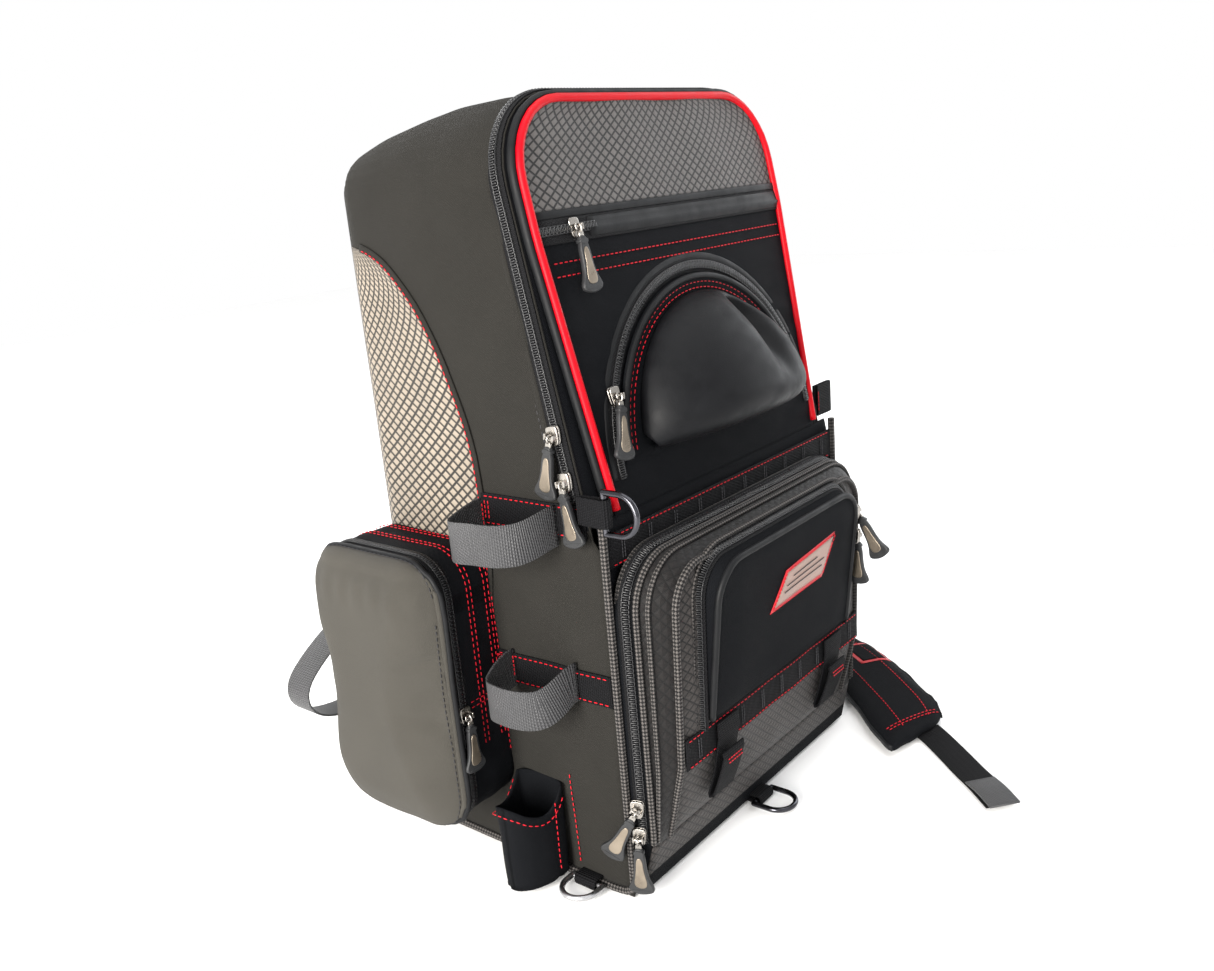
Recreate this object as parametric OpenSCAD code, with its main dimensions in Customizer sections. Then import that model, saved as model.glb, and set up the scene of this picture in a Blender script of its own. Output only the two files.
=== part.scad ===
// Tackle backpack: an upright fishing bag with a lean-back zipped flap, a moulded glasses case,
// a bellowed front pocket with a second pocket on it, side pockets, rod cups and loops.
// Origin at the middle of the base. +X is to the right of the front, -Y is the front, +Z is up.

/* [Body] */
// Width of the fabric shell
body_w = 286; // [240:1:320]
// Depth of the fabric shell from the lower front face to the back panel
body_d = 204; // [170:1:230]
// Height of the front arch
body_h = 510; // [460:1:540]
// Height at which the front starts to lean back
knee_z = 245; // [230:1:260]
// Distance the front leans back between the knee and the top
lean_d = 51; // [30:1:60]
// Thickness of a padded fabric wall
wall = 3; // [2:0.5:4]
// Radius of the arch's top corners
arch_r = 50; // [35:1:60]

/* [Pockets] */
// Height of the front pocket's lip
front_pocket_h = 243; // [225:1:244]
// Distance the front pocket stands out from the shell
front_pocket_d = 30; // [24:1:36]
// Height of the second pocket's cover
second_pocket_h = 108; // [90:1:112]
// Width of the second pocket's cover
second_pocket_w = 188; // [160:1:200]
// Distance a side pocket stands out from the shell
side_pocket_d = 64; // [50:1:70]
// Radius of the glasses case's flange
case_r = 109; // [95:1:110]
// Distance the glasses case's dome stands out from its flange
case_d = 42; // [30:1:46]

/* [Rod holders] */
// Inside radius of a rod cup
cup_r = 18; // [15:0.5:18]
// Height of a rod cup's rim
cup_top = 72; // [60:1:74]

/* [Zips] */
// Length of a pull tab
pull_l = 40; // [34:1:42]
// Width of a pull tab's flared end
pull_w = 13; // [10:0.5:14]

/* [Webbing] */
// Width of the sewn bands
band_w = 22; // [20:0.5:25]
// Width of the adjusting straps
strap_w = 25; // [20:0.5:28]
// Thickness of webbing
strap_t = 2; // [1.5:0.1:2.2]

/* [Hidden] */
half_w = body_w / 2;
front_y = -112;
back_y = front_y + body_d;
rise = body_h - knee_z;
lean_a = atan(lean_d / rise);
gap = 0.4;
// The flap lies on the shell's sloping rim, which is one flap thickness behind the front face.
flap_t = 6;
rim_y = front_y + flap_t;
flap_top = rise / cos(lean_a);
flap_foot = 15;
flap_foot_half = half_w - 17;
flap_half = half_w - 4;
piping_w = 5;
case_x = 3;
case_z = 40;
case_zip_r = case_r + 10;
case_foot = 6;
join_z = 405;
pocket_split = -127;
slope_z = 94;
side_y0 = -12;
side_y1 = 100;
side_z0 = 48;
side_z1 = 235;
side_lip = 5;
side_split = half_w + 47;
side_out = half_w + side_pocket_d;
cup_x = half_w + cup_r + 5.5;
cup_y = -42;
cup_foot = 8;
ring_wire = 2;
ring_bore = 2.2;
eye_r = 1.15;
pin_r = 0.9;
pin_out = 6.4;
$fn = 48;

// Each zip slider: its name, whether it lies on the sloping front, its place, its turn about Z and
// the angle to one side at which its pull hangs, so that it stays clear of its neighbours.
SLIDERS = [
  ["upper", true, [-104, -flap_t - 0.3, 190], 0, 0],
  ["case", true, [-105, -flap_t - 2.3, 86], 0, 13],
  ["main_a", true, [-half_w - 2.3, 7, 73], -90, 22],
  ["main_b", true, [-half_w - 2.3, 7, 44], -90, 0],
  ["side_left", false, [-half_w - 41, side_y0 - 0.3, 128], 0, 0],
  ["side_right", false, [half_w + 41, side_y0 - 0.3, 128], 0, 0],
  ["front_a", false, [-half_w + 2.3, front_y - 8.3, 70], -69, 30],
  ["front_b", false, [-half_w + 2.3, front_y - 8.3, 50], -69, 0],
  ["second_a", false, [second_pocket_w / 2 + 2.9, front_y - 43, 203], 90, 30],
  ["second_b", false, [second_pocket_w / 2 + 2.9, front_y - 43, 184], 90, 0],
];

// The sloping front: local +Z runs up the flap, local -Y points out of it.
module on_lean() {
  translate([0, rim_y, knee_z]) rotate([-lean_a, 0, 0]) children();
}

// A shape drawn in X and Z, made solid from y0 back to y1.
module slab_y(y0, y1) {
  translate([0, y1, 0]) rotate([90, 0, 0]) linear_extrude(y1 - y0) children();
}

// A shape drawn in Y and Z, made solid from x0 to x1.
module slab_x(x0, x1) {
  translate([x0, 0, 0]) rotate([90, 0, 90]) linear_extrude(x1 - x0) children();
}

// The arched outline of the front: straight flanks, round top corners.
module arch(foot, foot_half, half, top, r) {
  bend = top - r;
  polygon([[-foot_half, foot], [foot_half, foot], [half, bend - 33], [half, bend], [half - r, bend],
    [half - r, top], [r - half, top], [r - half, bend], [-half, bend], [-half, bend - 33]]);
  for (side = [-1, 1]) translate([side * (half - r), bend]) circle(r, $fn = 96);
}

module flap_outline(inset = 0) {
  arch(flap_foot, flap_foot_half - inset, flap_half - inset, flap_top - inset, arch_r - inset);
}

module gusset_outline(out = 0) {
  half = half_w + out;
  arch(-60, half, half, flap_top + 4 + out, arch_r + 4 + out);
}

module round_rect(w0, w1, h0, h1, r) {
  for (a = [w0 + r, w1 - r]) for (b = [h0 + r, h1 - r]) translate([a, b]) circle(r);
  translate([w0 + r, h0]) square([w1 - w0 - 2 * r, h1 - h0]);
  translate([w0, h0 + r]) square([w1 - w0, h1 - h0 - 2 * r]);
}

// Shell ---------------------------------------------------------------------------------------

module bottom_panel() {
  color("#24272a") translate([-half_w, front_y, 0]) cube([body_w, body_d, wall + 1]);
}

module back_panel() {
  h = body_h - (back_y - rim_y + lean_d) * tan(lean_a) + 21;
  r = 46;
  color("#1d1f22") slab_y(back_y - wall, back_y) {
    translate([-half_w, wall + 1]) square([body_w, h - r - wall - 1]);
    translate([r - half_w, h - r - 1]) square([body_w - 2 * r, r + 1]);
    for (side = [-1, 1]) translate([side * (half_w - r), h - r]) circle(r, $fn = 96);
  }
}

module frame_sheet() {
  color("#dfe3e6") slab_y(back_y - wall - 4, back_y - wall - gap) round_rect(-118, 118, 12, 440, 30);
}

module side_panel_profile() {
  inner_front = front_y + wall;
  polygon([[inner_front, wall + 1], [inner_front, knee_z - 6], [rim_y, knee_z],
    [rim_y + (join_z - knee_z) * tan(lean_a), join_z], [back_y - wall, join_z], [back_y - wall, wall + 1]]);
}

module left_side_panel() {
  color("#33373a") slab_x(-half_w, wall - half_w) side_panel_profile();
}

module right_side_panel() {
  color("#33373a") slab_x(half_w - wall, half_w) side_panel_profile();
}

module top_gusset() {
  color("#3a3e41") intersection() {
    on_lean() slab_y(0, body_d) difference() {
      gusset_outline();
      gusset_outline(-wall);
    }
    translate([-half_w, front_y, join_z]) cube([body_w, body_d - wall, body_h]);
  }
}

module waist_panel() {
  color("#24272a") {
    translate([-half_w, front_y, wall + 1]) cube([body_w, wall, knee_z - wall]);
    on_lean() translate([-flap_foot_half, -flap_t, 3]) cube([2 * flap_foot_half, wall, flap_foot - 5]);
  }
}

module main_zip() {
  color("#141516") on_lean() slab_y(0.5, 14) intersection() {
    difference() {
      gusset_outline(2);
      gusset_outline(0.1);
    }
    translate([-half_w - 5, 31]) square([body_w + 10, flap_top]);
  }
}

module waist_band() {
  color("#1b1c1e") {
    translate([-half_w, front_y - 2.2, 232]) cube([body_w, strap_t, band_w]);
    for (side = [-1, 1]) translate([side * (half_w + 1.2), -61, 261])
      cube([strap_t, 94, band_w], center = true);
  }
}

module lower_band() {
  color("#1b1c1e") for (side = [-1, 1]) translate([side * (half_w + 1.2), -60.2, 150])
    cube([strap_t, 95.6, band_w], center = true);
}

// A cloth tube sewn round a ring's straight bar, with its sewn-down end.
module ring_sleeve() {
  rotate([0, 90, 0]) difference() {
    cylinder(h = 18, r = 4, center = true);
    cylinder(h = 20, r = ring_bore, center = true);
  }
}

module webbing_tabs() {
  color("#1b1c1e") {
    translate([-half_w - 3.6, front_y - 7, 271]) rotate([0, 90, 0]) ring_sleeve();
    translate([-half_w - 5.2, front_y - 3.4, 262]) cube([2.4, 13, 18]);
    translate([half_w + 2.6, -101, 262]) cube([24, 3, 25]);
    translate([0, front_y - 13, 4.6]) ring_sleeve();
    translate([-9, front_y - 9.4, 1.2]) cube([18, 4, 2.4]);
    translate([-half_w - 7, -78, 4.6]) rotate([0, 0, 90]) ring_sleeve();
    translate([-half_w - 3.6, -87, 3.4]) cube([3.2, 18, 2.4]);
    for (side = [-1, 1]) translate([side * 38, back_y + 8, 466]) difference() {
      translate([-4, -7.6, -5]) cube([8, 12.6, 10]);
      rotate([0, 90, 0]) cylinder(h = 10, r = 2.7, center = true);
    }
  }
}

// Rod holders ---------------------------------------------------------------------------------

// A closed strap loop that stands out from the side, drawn in plan for the left side.
module loop_plan(y0, y1, out) {
  difference() {
    polygon([[0, y0], [out * 0.7, y0 + 6], [out, y0 + 20], [out, y1 - 14], [out * 0.7, y1 - 3], [0, y1]]);
    polygon([[strap_t, y0 + 3], [out * 0.7 - 1, y0 + 8.5], [out - strap_t, y0 + 21], [out - strap_t, y1 - 15],
      [out * 0.7 - 1, y1 - 5.3], [strap_t, y1 - 2.4]]);
  }
}

module rod_loops(side) {
  color("#4a4d50") for (loop = [[-80, -16, 250], [-84, -18, 139]])
    translate([side * (half_w + 2.6), 0, loop[2]]) mirror([side < 0 ? 1 : 0, 0, 0])
      linear_extrude(band_w) loop_plan(loop[0], loop[1], 43);
}

module rod_loops_left() { rod_loops(-1); }
module rod_loops_right() { rod_loops(1); }

module rod_cup(side) {
  color("#3a3e41") mirror([side < 0 ? 1 : 0, 0, 0]) translate([cup_x, cup_y, cup_foot]) difference() {
    union() {
      cylinder(h = cup_top - cup_foot, r = cup_r + 2.5, $fn = 72);
      translate([half_w + gap - cup_x, -22, 0]) cube([4, 44, cup_top - cup_foot]);
    }
    translate([0, 0, wall]) cylinder(h = cup_top, r = cup_r, $fn = 72);
  }
}

module rod_cup_left() { rod_cup(-1); }
module rod_cup_right() { rod_cup(1); }

// Side pockets --------------------------------------------------------------------------------

module side_pocket(side) {
  x0 = half_w + gap;
  color("#2c2f32") mirror([side < 0 ? 1 : 0, 0, 0]) slab_x(x0, side_split) difference() {
    round_rect(side_y0, side_y1, side_z0, side_z1, 24);
    round_rect(side_y0 + wall, side_y1 - wall, side_z0 + wall, side_z1 - wall, 21);
  }
}

module side_pocket_left() { side_pocket(-1); }
module side_pocket_right() { side_pocket(1); }

module side_cover(side) {
  y0 = side_y0 - side_lip;
  y1 = side_y1 + side_lip - 1;
  z0 = side_z0 - side_lip;
  z1 = side_z1 + side_lip;
  color("#34383b") mirror([side < 0 ? 1 : 0, 0, 0]) {
    slab_x(side_split + gap, side_out - wall) difference() {
      round_rect(y0, y1, z0, z1, 28);
      round_rect(y0 + wall, y1 - wall, z0 + wall, z1 - wall, 25);
    }
    slab_x(side_out - wall, side_out) round_rect(y0, y1, z0, z1, 28);
  }
}

module side_cover_left() { side_cover(-1); }
module side_cover_right() { side_cover(1); }

// Front pocket --------------------------------------------------------------------------------

module front_profile(inset = 0) {
  face = front_y - front_pocket_d;
  polygon([[front_y - gap, 4 + inset], [front_y - 6 + inset, 4 + inset], [face + 1 + inset, slope_z],
    [face - 4 + inset, front_pocket_h - 18], [face + 5 + inset, front_pocket_h - inset],
    [front_y - gap, front_pocket_h - 12 - inset]]);
}

module front_plan(inset = 0) {
  lip = front_y - front_pocket_d - 8;
  polygon([[inset - half_w, front_y - gap], [inset - half_w + 6, front_y - 16], [inset - 124, front_y - 26],
    [inset - 117, lip], [117 - inset, lip], [124 - inset, front_y - 26], [half_w - inset - 6, front_y - 16],
    [half_w - inset, front_y - gap]]);
}

module front_envelope(inset = 0) {
  intersection() {
    slab_x(-half_w, half_w) front_profile(inset);
    linear_extrude(body_h) front_plan(inset);
  }
}

module front_shell() {
  difference() {
    front_envelope();
    difference() {
      front_envelope(wall);
      translate([-half_w, front_y - 12, 0]) cube([body_w, 12, 30]);
    }
  }
}

module front_pocket_rim() {
  color("#202224") intersection() {
    front_shell();
    translate([-half_w, pocket_split, 0]) cube([body_w, -pocket_split, body_h]);
  }
}

module front_pocket_cover() {
  color("#4c4745") intersection() {
    front_shell();
    translate([-half_w, pocket_split - 60 - gap, 0]) cube([body_w, 60, body_h]);
  }
}

module second_profile(inset) {
  back = front_y - front_pocket_d - 1;
  polygon([[back, 118 + inset], [back - 6 + inset, 118 + inset], [back - 20 + inset, 218],
    [back - 16 + inset, 118 + second_pocket_h - inset], [back - 4.2, 118 + second_pocket_h - inset]]);
}

module second_pocket_cover() {
  half = second_pocket_w / 2;
  color("#26292b") difference() {
    slab_x(-half, half) second_profile(0);
    slab_x(wall - half, half - wall) difference() {
      second_profile(wall);
      polygon([[front_y, 100], [-300, 100], [-300, 119], [front_y, 119]]);
    }
    second_back_cut();
  }
}

// Room for the front pocket's face behind the second pocket's open back.
module second_back_cut() {
  slab_x(-half_w, half_w) polygon([[front_y - front_pocket_d - 1.6, 100], [front_y - front_pocket_d - 5.2, 240],
    [front_y, 240], [front_y, 100]]);
}

module pocket_webbing() {
  face = front_y - front_pocket_d - 1.4;
  color("#1b1c1e") {
    translate([-118, face - strap_t, slope_z - 3]) cube([236, strap_t, band_w]);
    for (side = [-1, 1]) translate([side * 73, face + 0.2, slope_z - 4]) rotate([16, 0, 0])
      translate([-strap_w / 2, -strap_t - 1, -42]) cube([strap_w, strap_t + 1, 40]);
  }
}

// Flap and glasses case -----------------------------------------------------------------------

module half_disc(r, foot = case_foot) {
  translate([case_x, case_z]) intersection() {
    circle(r, $fn = 120);
    translate([-r, -foot]) square([2 * r, 2 * r]);
  }
}

module main_flap() {
  color("#2b2e30") on_lean() {
    slab_y(-flap_t, -gap) flap_outline();
    slab_y(-flap_t - 2, -flap_t) difference() {
      half_disc(case_zip_r);
      half_disc(case_r + 0.5);
    }
  }
}

module flap_piping() {
  color("#d3202c") on_lean() slab_y(-flap_t - wall, -flap_t) difference() {
    flap_outline();
    flap_outline(piping_w);
    translate([-half_w, 0]) square([body_w, flap_foot + 3]);
  }
}

// Half of the dome's section: distance from its middle, and height above the flange.
module dome_profile(inset) {
  r = case_r - 16 - inset;
  h = case_d - inset;
  polygon([[0, 0], [r, 0], [r, h * 0.24], [r - 7, h * 0.52], [r - 19, h * 0.76], [r - 37, h * 0.93],
    [r - 59, h], [0, h]]);
}

// Half a shallow dome with a straight foot and a flat floor.
module case_dome(inset) {
  translate([case_x, -flap_t - 4, case_z]) {
    rotate([90, 0, 0]) rotate_extrude(angle = 180, $fn = 96) dome_profile(inset);
    translate([0, 0, inset - case_foot]) linear_extrude(case_foot - inset) for (side = [0, 1])
      mirror([side, 0]) mirror([0, 1]) dome_profile(inset);
  }
}

module glasses_lid() {
  y0 = -flap_t - 4;
  color("#232527") on_lean() difference() {
    union() {
      slab_y(y0, -flap_t - gap) half_disc(case_r);
      case_dome(0);
    }
    case_dome(wall);
    slab_y(y0 - 1, 0) half_disc(case_r - 16 - wall, case_foot - wall);
  }
}

// Rings ---------------------------------------------------------------------------------------

// A D-ring with its straight bar on X and its bow reaching towards -Y.
module d_ring(bow) {
  half = 13;
  rotate([0, 90, 0]) cylinder(h = 2 * half, r = ring_wire, center = true);
  for (side = [-1, 1]) translate([side * half, 0, 0]) {
    sphere(ring_wire);
    rotate([90, 0, 0]) cylinder(h = bow - half, r = ring_wire);
  }
  translate([0, half - bow, 0]) rotate([0, 0, 180]) rotate_extrude(angle = 180) translate([half, 0])
    circle(ring_wire);
}

module waist_ring() {
  color("#5a5c60") translate([-half_w - 3.6, front_y - 7, 271]) rotate([0, 90, 0]) d_ring(24);
}

module base_ring_front() {
  color("#5a5c60") translate([0, front_y - 13, 4.6]) d_ring(26);
}

module base_ring_left() {
  color("#5a5c60") translate([-half_w - 7, -78, 4.6]) rotate([0, 0, -90]) d_ring(20);
}

// Back and straps -----------------------------------------------------------------------------

module back_pads() {
  color("#17181a") {
    for (side = [-1, 1]) mirror([side < 0 ? 1 : 0, 0, 0])
      slab_y(back_y + 0.3, back_y + 10) round_rect(16, 92, 122, 428, 16);
    slab_y(back_y + 0.3, back_y + 12) round_rect(-92, 92, 18, 106, 18);
  }
}

module haul_handle() {
  r = 28;
  color("#1b1c1e") translate([0, back_y + 8, 466]) {
    rotate([90, 0, 0]) rotate([0, 0, 180]) rotate_extrude(angle = 180) translate([r, 0]) circle(5);
    for (side = [-1, 1]) translate([side * r, 0, 0]) {
      sphere(5);
      rotate([0, side * 90, 0]) cylinder(h = 13, r = 2.5);
    }
  }
}

module shoulder_strap(side) {
  y0 = back_y + 11.5;
  color("#202224") mirror([side < 0 ? 1 : 0, 0, 0]) {
    slab_y(y0, y0 + 13) polygon([[46, 452], [102, 452], [108, 400], [110, 330], [100, 250], [88, 200],
      [80, 190], [62, 190], [54, 200], [48, 250], [46, 330]]);
    slab_y(back_y + 0.4, y0) polygon([[46, 452], [102, 452], [103, 436], [46, 436]]);
  }
}

module shoulder_strap_left() { shoulder_strap(-1); }
module shoulder_strap_right() { shoulder_strap(1); }

// The left adjusting strap stands out past the side in a slack bow.
module strap_webbing_left() {
  y0 = back_y + 13.4;
  color("#2a2b2d") slab_y(y0, y0 + strap_w) polygon([
    [-74, 187], [-128, 182], [-178, 164], [-212, 143], [-223, 128], [-219, 114], [-200, 105], [-165, 104],
    [-128, 104], [-128, 106], [-165, 106], [-199, 107], [-217, 115], [-221, 128], [-210.5, 141.5],
    [-177, 162], [-127.5, 180], [-74, 185]]);
}

module strap_webbing_right() {
  y0 = back_y + 13.4;
  color("#2a2b2d") slab_y(y0, y0 + strap_t)
    polygon([[60, 187], [84, 187], [140, 108], [120, 96]]);
}

// One cross-section of a padded wing: place, turn about Z and tilt of its broad side.
module wing_slice(slice, w, t) {
  translate([slice[0], slice[1], slice[2]]) rotate([0, 0, slice[3]]) rotate([0, slice[4], 0])
    cube([t, 1, w], center = true);
}

module wing_chain(slices, w, t) {
  for (i = [0:len(slices) - 2]) hull() {
    wing_slice(slices[i], w, t);
    wing_slice(slices[i + 1], w, t);
  }
}

module hip_wing_left() {
  color("#202224") slab_y(back_y + 12.8, back_y + 27) round_rect(-140, 60, 5, 91, 20);
}

// The right wing leaves the back on edge, turns flat and lies forward along the floor.
module hip_wing_right() {
  slices = [
    [142, 112, 46, 80, 0], [192, 132, 38, 60, 30], [246, 92, 9, 10, 88], [262, 20, 8, 0, 90],
    [236, -70, 8, -32, 90], [177, -148, 8, -39, 90], [134, -192, 8, -11, 90]];
  color("#202224") wing_chain(slices, 76, 15);
}

module hip_webbing_left() {
  color("#2a2b2d") slab_y(back_y + 18, back_y + 18 + strap_t) translate([60.5, 36]) square([66, strap_w]);
}

module hip_webbing_right() {
  color("#2a2b2d") translate([0, 0, 0.4]) linear_extrude(strap_t)
    polygon([[139, -195], [162, -199.5], [136, -230], [90, -286], [64, -271], [110, -226]]);
}

// Zip sliders and pulls -----------------------------------------------------------------------

module place_slider(i) {
  spot = SLIDERS[i];
  if (spot[1]) on_lean() translate(spot[2]) rotate([0, 0, spot[3]]) children();
  else translate(spot[2]) rotate([0, 0, spot[3]]) children();
}

// The slider's body lies on the coil, and two lugs carry the pin that the pull swings on.
module slider(i) {
  color("#b9bbb8") place_slider(i) {
    translate([-4.5, -3.6, -6]) cube([9, 3.4, 12]);
    rotate([0, SLIDERS[i][4], 0]) {
      for (side = [-1, 1]) translate([side * 3.1, -5.4, 0]) cube([1.2, 4.4, 4], center = true);
      translate([0, -pin_out, 0]) rotate([0, 90, 0]) cylinder(h = 7.4, r = pin_r, center = true, $fn = 24);
    }
  }
}

// A flared tab with an eye at its top.
module pull(i) {
  t = 3;
  color("#8d8578") place_slider(i) rotate([0, SLIDERS[i][4], 0]) translate([0, -pin_out, 0]) difference() {
    union() {
      rotate([0, 90, 0]) cylinder(h = 4.2, r = 2.6, center = true, $fn = 32);
      slab_y(-t / 2, t / 2) polygon([[-2.1, 0], [2.1, 0], [2.1, -5], [3.6, -7], [3.6, -24],
        [pull_w / 2, 4 - pull_l], [pull_w / 2 - 2, -pull_l], [2 - pull_w / 2, -pull_l],
        [-pull_w / 2, 4 - pull_l], [-3.6, -24], [-3.6, -7], [-2.1, -5]]);
    }
    rotate([0, 90, 0]) cylinder(h = 6, r = eye_r, center = true, $fn = 24);
  }
}

// Each node -----------------------------------------------------------------------------------

bottom_panel();
back_panel();
frame_sheet();
left_side_panel();
right_side_panel();
top_gusset();
waist_panel();
main_zip();
waist_band();
lower_band();
webbing_tabs();
rod_loops_left();
rod_loops_right();
rod_cup_left();
rod_cup_right();
side_pocket_left();
side_pocket_right();
side_cover_left();
side_cover_right();
front_pocket_rim();
front_pocket_cover();
second_pocket_cover();
pocket_webbing();
main_flap();
flap_piping();
glasses_lid();
waist_ring();
base_ring_front();
base_ring_left();
back_pads();
haul_handle();
shoulder_strap_left();
shoulder_strap_right();
strap_webbing_left();
strap_webbing_right();
hip_wing_left();
hip_wing_right();
hip_webbing_left();
hip_webbing_right();
slider(0);  // upper_slider
slider(1);  // case_slider
slider(2);  // main_a_slider
slider(3);  // main_b_slider
slider(4);  // side_left_slider
slider(5);  // side_right_slider
slider(6);  // front_a_slider
slider(7);  // front_b_slider
slider(8);  // second_a_slider
slider(9);  // second_b_slider
pull(0);  // upper_pull
pull(1);  // case_pull
pull(2);  // main_a_pull
pull(3);  // main_b_pull
pull(4);  // side_left_pull
pull(5);  // side_right_pull
pull(6);  // front_a_pull
pull(7);  // front_b_pull
pull(8);  // second_a_pull
pull(9);  // second_b_pull
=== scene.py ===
import bmesh
import bpy
import math
from mathutils import Matrix, Vector, noise
from mathutils.bvhtree import BVHTree


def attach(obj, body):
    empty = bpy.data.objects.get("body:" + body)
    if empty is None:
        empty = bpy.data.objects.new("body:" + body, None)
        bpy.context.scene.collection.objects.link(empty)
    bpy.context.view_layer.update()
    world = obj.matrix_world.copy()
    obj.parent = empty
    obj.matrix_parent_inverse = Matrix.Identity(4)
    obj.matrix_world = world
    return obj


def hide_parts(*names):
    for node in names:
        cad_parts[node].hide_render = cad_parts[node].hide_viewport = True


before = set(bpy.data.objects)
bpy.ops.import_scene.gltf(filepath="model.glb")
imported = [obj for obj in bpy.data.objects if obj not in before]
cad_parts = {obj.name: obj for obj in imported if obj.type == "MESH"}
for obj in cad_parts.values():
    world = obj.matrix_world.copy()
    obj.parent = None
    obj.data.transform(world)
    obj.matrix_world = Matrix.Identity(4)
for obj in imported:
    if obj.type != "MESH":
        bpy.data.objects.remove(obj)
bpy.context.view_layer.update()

# Lengths are in millimetres until a mesh is made; a mesh is in metres, in the frame's axes.
MM = 0.001
HALF_W = 143
FRONT_Y = -112
BACK_Y = 92
KNEE_Z = 245
RIM_Y = -106
LEAN = math.atan2(51, 265)
SIN_L, COS_L = math.sin(LEAN), math.cos(LEAN)
FLAP_TOP = 269.9
FLAP_HALF = 139
FLAP_FOOT = 15
FLAP_FOOT_HALF = 126
ARCH_R = 50
CASE_X, CASE_Z, CASE_R = 3, 40, 109
UP = Vector((0, 0, 1))
TO_FRONT = Vector((0, -1, 0))
TO_BACK = Vector((0, 1, 0))


def lean(x, y, z):
    """A place on the sloping front: y is out of it when negative, z runs up it."""
    return Vector((x, RIM_Y + y * COS_L + z * SIN_L, KNEE_Z - y * SIN_L + z * COS_L))


def lean_way(x, y, z):
    """A direction on the sloping front."""
    return Vector((x, y * COS_L + z * SIN_L, z * COS_L - y * SIN_L))


LEAN_OUT = lean_way(0, -1, 0)


def mix(a, b, t):
    return a + (b - a) * t


def smooth(t):
    t = min(1, max(0, t))
    return t * t * (3 - 2 * t)


def bump_at(x, centre, width):
    """A smooth bump, 1 at its centre."""
    return math.exp(-((x - centre) / width) ** 2)


def span(a, b, count):
    """Evenly spaced numbers from a to b, both included."""
    return [mix(a, b, i / (count - 1)) for i in range(count)]


def turns(count):
    """Equal angles all the way round."""
    return [math.tau * i / count for i in range(count)]


def rumple(point, size, height):
    """Soft cloth unevenness, the same on every run."""
    return noise.noise(Vector(point) / size) * height


# Paths --------------------------------------------------------------------------------------
# A path is a list of (point, out) pairs; out is the way the cloth under it faces.


def resample(path, step):
    """The same path in equal steps of about this length."""
    lengths = [0]
    for (p, _), (q, _) in zip(path, path[1:]):
        lengths.append(lengths[-1] + (q - p).length)
    count = max(1, round(lengths[-1] / step))
    out, i = [], 0
    for k in range(count + 1):
        s = lengths[-1] * k / count
        while i < len(path) - 2 and lengths[i + 1] < s:
            i += 1
        t = (s - lengths[i]) / max(1e-9, lengths[i + 1] - lengths[i])
        p = path[i][0].lerp(path[i + 1][0], t)
        n = path[i][1].lerp(path[i + 1][1], t)
        out.append((p, n.normalized()))
    return out


def frames(path, loop=False):
    """(point, along, across, out) at each point of a path."""
    rows, count = [], len(path)
    for i, (p, n) in enumerate(path):
        before = path[i - 1][0] if i or loop else p
        after = path[(i + 1) % count][0] if i < count - 1 or loop else p
        along = (after - before).normalized()
        across = along.cross(n).normalized()
        rows.append((p, along, across, across.cross(along)))
    return rows


def shifted(path, across=0.0, out=0.0):
    """The path moved sideways and off the cloth."""
    return [(p + b * across + n * out, n) for p, _, b, n in frames(path)]


def line(a, b, out, steps=12):
    """A straight path."""
    a, b = Vector(a), Vector(b)
    return [(a.lerp(b, t), Vector(out)) for t in span(0, 1, steps)]


def lifted(path, height):
    return [(p + n * height, n) for p, n in path]


# Pieces -------------------------------------------------------------------------------------


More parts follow.
